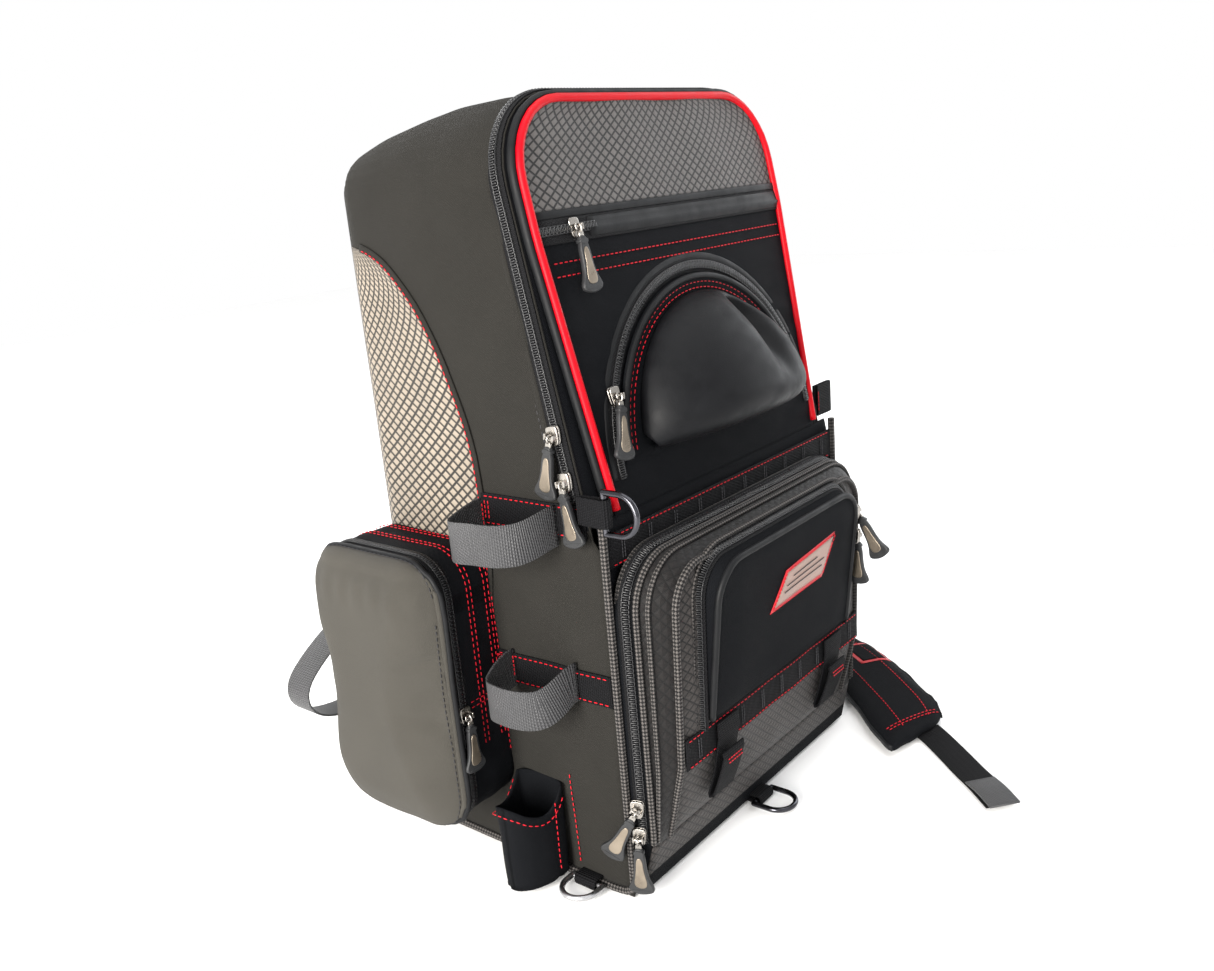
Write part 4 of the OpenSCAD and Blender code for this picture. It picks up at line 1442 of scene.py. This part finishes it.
def round_ring(y0, y1, z0, z1, r):
    """A rounded rectangle seen from the side: (y, z, way out), from the end of its front edge."""
    ring = []
    corners = ((y0 + r, z1 - r, 180), (y1 - r, z1 - r, 90), (y1 - r, z0 + r, 0), (y0 + r, z0 + r, -90))
    for k, (cy, cz, start) in enumerate(corners):
        for i in range(CORNER_STEPS + 1):
            a = math.radians(start - 90 * i / CORNER_STEPS)
            ring.append((cy + r * math.cos(a), cz + r * math.sin(a), math.cos(a), math.sin(a)))
        ny, nz, _ = corners[(k + 1) % 4]
        end, a = ring[-1], math.radians(start - 90)
        begin = (ny + r * math.cos(a), nz + r * math.sin(a))
        for t in span(0, 1, 12)[1:-1]:
            ring.append((mix(end[0], begin[0], t), mix(end[1], begin[1], t), math.cos(a), math.sin(a)))
    return ring


def gusset_ring(side, x, grow=0.0, folds=0.0):
    """The pocket's wall at a distance from the body, as a path round it."""
    path = []
    for y, z, ny, nz in round_ring(SIDE_Y0 - grow, SIDE_Y1 + grow, SIDE_Z0 - grow, SIDE_Z1 + grow, 24 + grow):
        fold = rumple((x * 1.5, y, z), 17, folds) if folds else 0
        out = Vector((0, ny, nz))
        path.append((Vector((side * x, y, z)) + out * fold, out))
    return path


def side_pocket(side, word):
    """The pocket's wall round its opening, with its zip and its double rows of red stitches."""
    # The wall's near-black face cloth is painted shade: the gusset is darkened as if shaded from the key.
    wall = Piece("side_wall_painted_shade_" + word, "shell", FACE_CLOTH)
    rows = []
    for x in span(143.2, 189.8, 14):
        middle = math.sin(math.pi * (x - HALF_W) / 47)
        rows.append([p for p, _ in gusset_ring(side, x, 0.8 * middle, 1.1 * middle)])
    wall.grid(rows, flip=side < 0, wrap=True)
    wall.make("bag_cloth", ["side_pocket_" + word], thick=1.2)
    ring = gusset_ring(side, 184, 0.5)
    zipped = [q for q in ring[-22:] + ring[:36] if q[0].z > 62 or q[0].y < 30]
    path = resample(zipped, 4)
    trim("side_zip_tape_" + word, "shell", TAPE, path, rounded_bar(11.5, 1.0), "zip_coil")
    coil("shell", lifted(path, 0.8))
    for x in (149.5, 153, 165, 168.5):
        ring = lifted(gusset_ring(side, x, 0.9), 1.4)
        stitch("shell", ring[-9:] + ring[:44], lift=0.2)
    for z in (130, 134):
        row = [(Vector((side * x, SIDE_Y0 - 2.0, z)), TO_FRONT) for x in span(152, 180, 8)]
        stitch("shell", row)


def side_cover_stations():
    """Round rectangles that shrink towards the cover's outer face."""
    levels = ((COVER_X0, 0.5), (193, 0), (198, 0), (202, 2.5),
              (204.5, 7), (206, 15), (206.6, 28), (206.8, 42))
    rings = []
    for x, inset in levels:
        r = max(6, 28 - inset * 0.55)
        ring = round_ring(-16.5 + inset, 103.5 - inset, 43.5 + inset, 239.5 - inset, r)
        rings.append([Vector((-x, y, z)) for y, z, _, _ in ring])
    return rings


def side_cover_shape():
    """The left cover, blown up and dented, as a closed pad of padded cloth; open_tray opens it later."""
    obj = lofted("side_pad_left", side_cover_stations())
    inflate(obj, 4.5, 5.0, 7.0, hold=lambda p: smooth((abs(p.x) - 194) / 5), ways=(1, 0.1, 0.1))

    def dent(p):
        face = smooth((abs(p.x) - 194) / 8)
        ridge = 4 + 26 * bump_at(p.z, 138, 62)
        fall = smooth((ridge - p.y) / 30)
        creases = bump_at(p.z + (p.y - 10) * 0.2, 168, 4) + bump_at(p.z - (p.y - 10) * 0.15, 128, 4.5)
        gather = math.sin(p.y / 2.6) * bump_at(p.z, 214, 9)
        rim = bump_at(p.z, 227, 3.2)
        sag = 2.0 * math.exp(-((p.y - 56) / 40) ** 2 - ((p.z - 96) / 50) ** 2)
        depth = 9.5 * fall + 1.8 * creases * fall * smooth((p.y + 14) / 12)
        depth += 0.6 * gather + 1.3 * rim - sag - rumple(p, 40, 1.4)
        return Vector((face * depth, 0, 0))

    press(obj, dent)
    return obj


def open_tray(obj):
    """Takes off the side that faces the pocket and gives the rest its thickness."""
    bm = bmesh.new()
    bm.from_mesh(obj.data)
    inner = []
    for face in bm.faces:
        if abs(face.normal.x) > 0.7 and all(abs(v.co.x) < (COVER_X0 + 1.8) * MM for v in face.verts):
            inner.append(face)
    bmesh.ops.delete(bm, geom=inner, context="FACES")
    bm.to_mesh(obj.data)
    bm.free()
    solid = obj.modifiers.new("Thickness", "SOLIDIFY")
    solid.thickness = 1.6 * MM
    solid.offset = -1
    apply_modifiers(obj)


def side_covers():
    """Both covers, with their bindings and a row of black stitches."""
    left = side_cover_shape()
    open_tray(left)
    right = mirrored(left, "side_pad_right")
    for side, obj, word in ((-1, left, "left"), (1, right, "right")):
        body = "side_flap_" + word
        padded_piece(obj, body, COVER_CLOTH, ["side_cover_" + word])
        edge, seam = [], []
        for y, z, ny, nz in round_ring(-17, 104, 43, 240, 28):
            edge.append((Vector((side * (COVER_X0 + 1), y, z)), Vector((0, ny, nz))))
            seam.append((Vector((side * (COVER_X0 + 6.9), y, z)), Vector((side * 0.35, ny, nz)).normalized()))
        binding = hugged(obj, edge, 0.6)
        trim("side_pad_binding_" + word, body, BINDING, binding, circle_section(2.0), loop=True)
        stitch(body, laid_on(obj, seam, 0.15, 14), mat=1)


# Rod loops and cups -------------------------------------------------------------------------


def loop_path(side, y0, y1, z, out=43):
    """Round a strap loop that stands out from the side, drawn in plan."""
    plan = [(0.6, y0 + 3), (out * 0.45, y0 + 3.4), (out * 0.82, y0 + 9), (out, y0 + 22),
            (out + 0.4, y1 - 20), (out * 0.86, y1 - 6), (out * 0.5, y1 - 2.6), (0.6, y1 - 2)]
    for _ in range(2):
        rounded = [plan[0]]
        for (a, b), (c, d) in zip(plan, plan[1:]):
            rounded += [(mix(a, c, 0.25), mix(b, d, 0.25)), (mix(a, c, 0.75), mix(b, d, 0.75))]
        plan = rounded + [plan[-1]]
    path = []
    for i, (x, y) in enumerate(plan):
        a, b = plan[max(0, i - 1)], plan[min(len(plan) - 1, i + 1)]
        normal = Vector((b[1] - a[1], a[0] - b[0], 0)).normalized()
        path.append((Vector((side * (145.8 + x), y, z)), Vector((side * normal.x, normal.y, 0))))
    return resample(path, 3)


def rod_loops(side, word):
    """The upper and the lower strap loop, grey outside and looped pile inside, and their bar tacks."""
    loops = Piece("loops_" + word, "shell", GREY_WEBBING, FUZZ)
    for y0, y1, z, sag, out in ((-82, -14, 258, 3.5, 43), (-86, -26, 153, 9, 38)):
        tilted = []
        for p, n in loop_path(side, y0, y1, z, out):
            hang = sag * smooth((abs(p.x) - 150) / 30) + 3.0 * smooth((p.y + 50) / 30)
            tilted.append((p - UP * hang, n))
        loops.sweep(tilted, rounded_bar(27, 0.9), 0)
        loops.sweep(tilted, rounded_bar(26.4, 0.9, -0.95), 1)
        for y in (y1 - 1, y1 - 4):
            tack = side_path(side, [(y, z - 9), (y, z + 9)], 6, 3.4)
            stitch("shell", tack, step=3.0, length=2.4)
    y, z = -12.5, 150
    cross = [(y - 12, z - 8), (y - 2, z + 8), (y - 12, z + 8), (y - 2, z - 8)]
    stitch("shell", side_path(side, cross, 8, 2.8), step=3.0, length=2.4)
    loops.make("webbing", ["rod_loops_" + word])


CUP_X, CUP_Y, CUP_FLOOR = 166.5, -42, 6.5
CUP_BACK, CUP_POINTS = 150.5, 56


def cup_ring(side, z, grow=0.0):
    """A cup's plan: flat on the body, drawn out to a soft point."""
    ring = []
    for a in turns(CUP_POINTS):
        c, s = math.cos(a), math.sin(a)
        if c > 0:
            x, y = CUP_BACK + (35 + grow) * c, CUP_Y + (19 + grow) * s
        else:
            x, y = CUP_BACK + 6.4 * c, CUP_Y + (19 + grow) * math.copysign(abs(s) ** 0.7, s)
        fold = abs(rumple((x, y, z * 0.4), 10, 1.6)) * smooth((x - 150) / 8)
        ring.append(Vector((side * (x + fold), y, z)))
    return ring


def cup_rim(a):
    """The rim's height: high at the body and at the point, lower between them."""
    out = max(0, math.cos(a))
    return 72.5 - 13 * math.sin(math.pi * min(1, out ** 0.8)) - 4 * out


def rod_cup(side, word):
    """The cup for a rod's butt, with red stitches round its rim, down its seam and beside it."""
    piece = Piece("cup_" + word, "shell", FACE_CLOTH)
    rims = [cup_rim(a) for a in turns(CUP_POINTS)]
    rows = []
    for t in span(0, 1, 18):
        ring = cup_ring(side, 40 * t, 1.4 * t)
        rows.append([Vector((p.x, p.y, mix(CUP_FLOOR, top, t))) for p, top in zip(ring, rims)])
    piece.grid(rows, flip=side > 0, wrap=True)
    rows = []
    middle = Vector((side * CUP_X, CUP_Y, CUP_FLOOR))
    for t in span(0.05, 1, 5):
        ring = cup_ring(side, CUP_FLOOR)
        rows.append([middle.lerp(p, t) for p in ring])
    piece.grid(rows, flip=side < 0, wrap=True)
    piece.make("bag_cloth", ["rod_cup_" + word], thick=1.2, offset=1)
    rim = []
    for p, top in zip(cup_ring(side, 40, 2.8), rims):
        out = (Vector((p.x, p.y, 0)) - Vector((side * CUP_BACK, CUP_Y, 0))).normalized()
        rim.append((Vector((p.x, p.y, top - 4.5)), out))
    front = rim[14:0:-1] + [rim[0]] + rim[:-15:-1]
    stitch("shell", front, lift=1.0)
    seam = []
    for z in span(12, 68, 12):
        spot = cup_ring(side, z, 2.8)[44]
        seam.append((Vector((spot.x, spot.y, z)), Vector((side * 0.3, -1, 0)).normalized()))
    stitch("shell", seam, lift=1.0)
    stitch("shell", side_path(side, [(-68, 10), (-68, 84)], 14, 0.8))


# Tabs and rings -----------------------------------------------------------------------------


def strip(piece, points, across, width, thick=1.5, mat=0, rounds=2):
    """Webbing along a line of points, its width along one way."""
    for _ in range(rounds):
        rounded = [points[0]]
        for p, q in zip(points, points[1:]):
            rounded += [p.lerp(q, 0.25), p.lerp(q, 0.75)]
        points = rounded + [points[-1]]
    path = []
    for i, p in enumerate(points):
        along = (points[min(len(points) - 1, i + 1)] - points[max(0, i - 1)]).normalized()
        path.append((p, across.cross(along).normalized()))
    piece.sweep(path, rounded_bar(width, thick, -thick / 2), mat)
    return path


def bar_wrap(centre, arm, out, reach, r=3.6):
    """Points of a tab from the cloth, round a ring's bar and back: arm leads to the bar."""
    start = centre - arm * reach
    return [start + out * 2.4, centre - arm * r * 1.6 + out * r * 0.9, centre + out * r,
            centre + (arm + out) * r * 0.8, centre + arm * r, centre + (arm - out) * r * 0.8,
            centre - out * r, centre - arm * r * 1.6 - out * r * 0.6, start - out * 1.0]


def tabs():
    """The tabs that hold the D-rings and the handle, and the plain one at the waist on the right."""
    piece = Piece("ring_tabs", "shell", WEBBING)
    x, y = Vector((1, 0, 0)), Vector((0, 1, 0))
    strip(piece, bar_wrap(Vector((-146.6, -119, 271)), -y, -x, 19), UP, 18)
    strip(piece, bar_wrap(Vector((0, -125, 4.6)), -y, UP, 11.5), x, 18)
    strip(piece, bar_wrap(Vector((-150, -78, 4.6)), -x, UP, 6.5), y, 18)
    for side in (-1, 1):
        strip(piece, bar_wrap(Vector((side * 38, 100, 466)), y, UP, 7.4, 3.4), x, 9)
    plan = ((144.5, -98.6), (158, -98.2), (167, -98.0), (169.4, -99.6),
            (167, -101.4), (158, -101.2), (146.5, -100.8))
    strip(piece, [Vector((px, py, 274.5)) for px, py in plan], UP, 25)
    piece.make("webbing", ["webbing_tabs"])
    stitch("shell", line((146, -102.2, 265), (146, -102.2, 284), TO_FRONT), step=3.2)


def ring_metals():
    """The D-rings keep their CAD shape and get their metals."""
    metals = {"waist_ring": GUNMETAL, "base_ring_front": GUNMETAL, "base_ring_left": SILVER}
    for node, metal in metals.items():
        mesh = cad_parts[node].data
        mesh.materials.clear()
        mesh.materials.append(metal)


def sides():
    for side, word in ((-1, "left"), (1, "right")):
        side_pocket(side, word)
        rod_loops(side, word)
        rod_cup(side, word)
    side_covers()
    tabs()
    ring_metals()


# Back and harness ---------------------------------------------------------------------------


def end_curve(end):
    """The round of a pad's end, from 0 at its tip to 1 where it has its full width."""
    return math.sqrt(max(0.0, 1 - (1 - end) ** 2))


def slab_stations(outline, y_mid, half_t, steps=26):
    """Stations up a flat pad whose half width at each height comes from its outline."""
    low, high = outline[0][0], outline[-1][0]
    stations = []
    for z in span(low, high, steps):
        for (z0, c0, w0), (z1, c1, w1) in zip(outline, outline[1:]):
            if z0 <= z <= z1:
                t = (z - z0) / (z1 - z0)
                centre, width = mix(c0, c1, t), mix(w0, w1, t)
        curve = end_curve(min(1, (z - low) / 12, (high - z) / 12))
        half_w = max(3, width - 12 + 12 * curve)
        thin = max(1.2, half_t * (0.35 + 0.65 * curve))
        stations.append((Vector((centre, y_mid, z)), Vector((1, 0, 0)), TO_BACK, half_w, thin))
    return stations


def channels(obj, heights, y_back, depth=3.5):
    """Sewn channels across a pad."""
    def dip(p):
        pressed = sum(bump_at(p.z, z, 3.2) for z in heights)
        return Vector((0, -depth * pressed * smooth((p.y - y_back) / 6), 0))
    press(obj, dip)


def back_pads():
    """Two long pads and the lumbar pad in spacer mesh, bound at their edges."""
    left = cushion("back_pad_left", slab_stations([(123, -54, 35), (428, -54, 35)], 97.2, 4.3))
    inflate(left, 3.5, 4.5, 4.0)
    channels(left, (198, 275, 352), 92.5)
    right = mirrored(left, "back_pad_right")
    padded_piece(left, "shell", SPACER, ["back_pads"])
    padded_piece(right, "shell", SPACER)
    lumbar = cushion("lumbar_pad", slab_stations([(19, 0, 89), (105, 0, 89)], 98.2, 5.2, 14))
    inflate(lumbar, 3.5, 4.5, 4.0)
    channels(lumbar, (62,), 92.5)
    padded_piece(lumbar, "shell", SPACER)
    edge = Piece("back_pad_binding", "shell", BINDING)
    for x0, x1, z0, z1 in ((-92, -16, 122, 428), (16, 92, 122, 428), (-92, 92, 18, 106)):
        ring = round_ring(x0 + 1, x1 - 1, z0 + 1, z1 - 1, 14)
        path = [(Vector((x, 94.0, z)), Vector((nx, 0, nz))) for x, z, nx, nz in ring]
        edge.sweep(path, rounded_bar(4.5, 1.8, -0.6, 3), loop=True)
    edge.make("padding")


# Height, middle and half width of the left shoulder strap.
STRAP_OUTLINE = [(190, -71, 9), (200, -71, 17), (250, -74, 26),
                 (330, -78, 32), (400, -77, 31), (452, -74, 28)]


def shoulder_straps():
    """Two padded straps with a webbing spine, a sewn root and the loop of the ladder lock."""
    left = cushion("shoulder_pad_left", slab_stations(STRAP_OUTLINE, 110, 5.4, 34))
    inflate(left, 3.5, 5.0, 4.0)
    channels(left, (300, 366), 104.5, 2.2)
    right = mirrored(left, "shoulder_pad_right")
    for side, obj, word in ((-1, left, "left"), (1, right, "right")):
        body = "strap_" + word
        padded_piece(obj, body, FACE_CLOTH, ["shoulder_strap_" + word])
        web = Piece("shoulder_webbing_" + word, body, WEBBING, BINDING)
        spine = []
        for z in span(196, 446, 50):
            spine.append((Vector((side * mix(71, 75, smooth((z - 190) / 120)), 108, z)), TO_BACK))
        web.sweep(laid_on(obj, spine, 0.1), rounded_bar(22, 1.5))
        for z in (236, 300, 366, 430):
            tack = [(Vector((side * x, 108, z)), TO_BACK) for x in span(64, 84, 6)]
            stitch(body, lifted(laid_on(obj, tack, 0.2), 1.7), step=3.2, length=2.6)
        root = ((93.2, 446), (97, 449), (103, 449.5), (108, 447), (111, 441))
        lock = ((115, 196), (113.4, 189), (110.4, 184.5), (107.6, 188), (106.4, 196))
        for x, spots, width, thick in ((74, root, 54, 2.4), (71, lock, 27, 2.0)):
            route = [Vector((side * x, y, z)) for y, z in spots]
            strip(web, route, Vector((side, 0, 0)), width, thick, 1)
        web.make("webbing")


def haul_handle():
    """The padded grip on two webbing ends."""
    piece = Piece("grip", "handle", BINDING, WEBBING)
    rows = []
    for t in span(0, 1, 34):
        a = math.pi * (1 + t)
        end = min(1, t / 0.1, (1 - t) / 0.1)
        r = 2.6 + 3.0 * smooth(end)
        centre = Vector((28 * math.cos(a), 100, 466 + 28 * math.sin(a)))
        spoke = Vector((math.cos(a), 0, math.sin(a)))
        rows.append([centre + spoke * r * math.cos(b) + TO_BACK * r * 0.85 * math.sin(b) for b in turns(16)])
    piece.grid(rows, wrap=True)
    for side in (-1, 1):
        bar = [(Vector((side * x, 100, 466)), TO_BACK) for x in span(27, 41, 8)]
        piece.sweep(bar, circle_section(2.5, 12), 1)
    obj = piece.make("webbing", ["haul_handle"])


def adjusters():
    """The slack bow of the left adjusting strap, and the flat right one."""
    bow = Piece("adjuster_bow", "adjuster_left", GREY_WEBBING)
    centre = [(-74, 186), (-128, 181), (-178, 163), (-212, 142), (-222, 128),
              (-218, 112.5), (-200, 102.4), (-165, 99), (-128, 101)]
    strip(bow, [Vector((x, 117.9, z)) for x, z in centre], TO_BACK, 25, 1.6)
    bow.make("webbing", ["strap_webbing_left"])
    for x, z in ((-170, 99.6), (-173, 99.7), (-184, 100.4)):
        tack = [(Vector((x, y, z)), -UP) for y in span(107, 129, 7)]
        stitch("adjuster_left", tack, step=3.2, length=2.6, lift=1.4)
    flat = Piece("adjuster_flat", "adjuster_right", GREY_WEBBING)
    route = [Vector((x, 106.4, z)) for x, z in ((72, 187), (88, 164), (104, 140), (118, 120), (130, 102))]
    along = (route[-1] - route[0]).normalized()
    strip(flat, route, along.cross(TO_BACK), 24, 1.6)
    flat.make("webbing", ["strap_webbing_right"])


def wing_left():
    """The left hip wing, folded across the back, and its webbing."""
    stations = []
    for x in span(-139, 59, 26):
        curve = end_curve(min(1, (x + 139) / 16, (59 - x) / 16))
        stations.append((Vector((x, 111.8, 48)), UP, TO_BACK, 30 + 12 * curve, 2.4 + 3.6 * curve))
    obj = cushion("hip_pad_left", stations)
    inflate(obj, 3.5, 5.0, 4.0)
    padded_piece(obj, "hip_left", FACE_CLOTH, ["hip_wing_left"])
    for z in (38, 58):
        row = [(Vector((x, 112, z)), TO_BACK) for x in span(-126, 46, 40)]
        stitch("hip_left", laid_on(obj, row, 0.2))
    web = Piece("hip_strap_left", "hip_left", WEBBING)
    route = [Vector((x, 111, 48.5)) for x in span(54, 126, 10)]
    strip(web, route, UP, 25, 1.8)
    web.make("webbing", ["hip_webbing_left"])
    stitch("hip_left", line((122, 112.4, 38), (122, 112.4, 59), TO_BACK), step=3.2)


# Place, turn about Z and tilt of the right wing's broad side, as it turns from edge to flat.
WING = [((142, 112, 46), 80, 0), ((192, 132, 38), 60, 30), ((246, 92, 9), 10, 88), ((262, 20, 8), 0, 90),
        ((236, -70, 8), -32, 90), ((177, -148, 8), -39, 90), ((134, -192, 8), -11, 90)]


def wing_spine():
    """Smoothed stations along the right wing."""
    posts = []
    for place, turn, tilt in WING:
        spin = Matrix.Rotation(math.radians(turn), 3, "Z") @ Matrix.Rotation(math.radians(tilt), 3, "Y")
        posts.append((Vector(place), spin @ UP, spin @ Vector((1, 0, 0))))
    count, stations = len(posts), []
    for i in range(count - 1):
        four = [posts[max(0, min(count - 1, k))] for k in (i - 1, i, i + 1, i + 2)]
        for t in span(0, 1, 12)[:-1]:
            weights = (-0.5 * t + t * t - 0.5 * t ** 3, 1 - 2.5 * t * t + 1.5 * t ** 3,
                       0.5 * t + 2 * t * t - 1.5 * t ** 3, -0.5 * t * t + 0.5 * t ** 3)
            place, wide, out = [sum((f[k] * w for f, w in zip(four, weights)), Vector()) for k in range(3)]
            wide = wide.normalized()
            out = (out - wide * out.dot(wide)).normalized()
            stations.append((place, wide, out))
    stations.append(posts[-1])
    return stations


def wing_right():
    """The right hip wing, lying along the floor in front, with its stitching, patch and webbing."""
    spine = wing_spine()
    last = len(spine) - 1
    stations = []
    for i, (place, wide, out) in enumerate(spine):
        curve = end_curve(min(1, (i + 0.6) / 3, (last - i + 0.6) / 3))
        stations.append((place, wide, out, 28 + 8 * curve, 2.8 + 2.8 * curve))
    obj = cushion("hip_pad_right", stations)
    inflate(obj, 3.5, 5.0, 3.0)
    press(obj, lambda p: Vector((0, 0, max(0, 0.6 - p.z))))
    padded_piece(obj, "hip_right", FACE_CLOTH, ["hip_wing_right"])
    seam = Piece("hip_binding_right", "hip_right", BINDING)
    for edge in (-1, 1):
        path = [(place + wide * edge * 40, wide * edge) for place, wide, _ in spine[2:-1]]
        seam.sweep(resample(hugged(obj, path), 4), rounded_bar(5, 1.6, -0.7, 3))
    seam.make("padding")
    for offset in (-14, 16):
        row = [(place + wide * offset, UP) for place, wide, _ in spine[20:-3]]
        stitch("hip_right", laid_on(obj, row, 0.2))
    tip, wide, _ = spine[-5]
    for back in (0, 3):
        row = [(tip + wide * t + Vector((0.2, 1, 0)) * back, UP) for t in span(-30, 30, 14)]
        stitch("hip_right", laid_on(obj, row, 0.2))
    label = Piece("wing_patch", "hip_right", PATCH_EDGE, FACE_CLOTH)
    centre, wide, _ = spine[46]
    centre = centre + wide * 15
    along = wide.cross(UP)
    for half_a, half_b, out, mat in ((20, 15, 0.3, 0), (16.5, 11.5, 0.7, 1)):
        rows = []
        for v in span(-1, 1, 9):
            row = [(centre + along * u * half_a + wide * (v * half_b - 2), UP) for u in span(-1, 1, 12)]
            rows.append([p for p, _ in laid_on(obj, row, out)])
        label.grid(rows, mat)
    label.make("bag_cloth", thick=0.6)
    web = Piece("hip_strap_right", "hip_right", WEBBING, GREY_WEBBING)
    across = Vector((0.75, -0.66, 0)).normalized()
    route = ((152, -188, 4), (146, -200, 1.8), (128, -222, 1.4),
             (112, -240, 1.6), (98, -256, 3.2), (80, -276, 2.6))
    strip(web, [Vector(spot) for spot in route], across, 25, 1.6)
    turned = ((101, -252, 4.4), (90, -265, 6.0), (78, -279, 4.8))
    hem = strip(web, [Vector(spot) for spot in turned], across, 24, 1.6, 1, 1)
    web.make("webbing", ["hip_webbing_right"])
    for p, _, across, out in frames(hem)[-3:-1]:
        row = [(p + across * t, out) for t in span(-11, 11, 8)]
        stitch("hip_right", row, step=3.0, length=2.4, lift=1.1)


def back():
    back_pads()
    shoulder_straps()
    haul_handle()
    adjusters()
    wing_left()
    wing_right()


# Camera, light and floor --------------------------------------------------------------------


def camera():
    """The photograph's view: from the front left, a little above, slightly rolled."""
    azimuth, elevation, roll = math.radians(-49.8), math.radians(16.12), math.radians(-5.04)
    place = Vector((-615.9, -519.4, 466.3)) * MM
    level = Vector((math.sin(azimuth), -math.cos(azimuth), 0))
    back = level * math.cos(elevation) + UP * math.sin(elevation)
    right = (-back).cross(UP).normalized()
    up = right.cross(-back)
    x = right * math.cos(roll) + up * math.sin(roll)
    y = up * math.cos(roll) - right * math.sin(roll)
    data = bpy.data.cameras.new("Camera")
    data.sensor_width = 36
    data.lens = 32.5228
    data.clip_start = 0.01
    obj = bpy.data.objects.new("Camera", data)
    obj.matrix_world = Matrix.Translation(place) @ Matrix((x, y, back)).transposed().to_4x4()
    bpy.context.scene.collection.objects.link(obj)
    bpy.context.scene.camera = obj


def area_light(name, place, target, size, power, colour=(1, 1, 1)):
    data = bpy.data.lights.new(name, "AREA")
    data.shape = "RECTANGLE"
    data.size, data.size_y = size
    data.energy = power
    data.color = colour
    obj = bpy.data.objects.new(name, data)
    obj.location = place
    obj.rotation_euler = (Vector(target) - Vector(place)).to_track_quat("-Z", "Y").to_euler()
    bpy.context.scene.collection.objects.link(obj)


def lights():
    """A warm key from the left and weak cool fills, in a white surround."""
    aim = (0, 0, 0.26)
    area_light("Key_left", (-2.2, -0.25, 0.7), aim, (1.1, 1.3), 150, (1.0, 0.97, 0.92))
    area_light("Top", (0.1, -0.3, 1.9), aim, (1.4, 1.4), 14)
    area_light("Fill_front", (-0.6, -2.1, 0.9), aim, (1.6, 1.2), 5, (0.94, 0.97, 1.0))
    area_light("Rim_right", (1.7, -0.5, 0.9), aim, (0.9, 1.6), 18, (0.94, 0.97, 1.0))
    area_light("Back", (0.3, 2.0, 1.1), aim, (1.8, 1.2), 24)
    world = bpy.data.worlds.new("Studio")
    world.use_nodes = True
    world.node_tree.nodes["Background"].inputs["Color"].default_value = (1, 1, 1, 1)
    world.node_tree.nodes["Background"].inputs["Strength"].default_value = 1.0
    bpy.context.scene.world = world
    bpy.context.scene.view_settings.view_transform = "Standard"


def floor():
    """A plain pale floor just under the bag."""
    shade = Shade("floor_paper", 0.9)
    cloud = shade.noise(0.4, 2.0)
    material = shade.finish(shade.blend(cloud, (0.93, 0.93, 0.93), (0.96, 0.96, 0.96)))
    mesh = bpy.data.meshes.new("Floor")
    reach, points = 4.0, []
    for x, y in ((-reach, -reach), (reach, -reach), (reach, reach), (-reach, reach)):
        points.append((x, y, -0.0005))
    mesh.from_pydata(points, [], [(0, 1, 2, 3)])
    mesh.uv_layers.new(name="UVMap")
    mesh.materials.append(material)
    obj = bpy.data.objects.new("Floor", mesh)
    bpy.context.scene.collection.objects.link(obj)


camera()
lights()
floor()
shell()
flap()
glasses_case()
front_pocket()
sides()
back()
sliders()
for store, slot in ((THREADS, "red_piping"), (COILS, "zip_coil")):
    for piece in store.values():
        piece.make(slot)
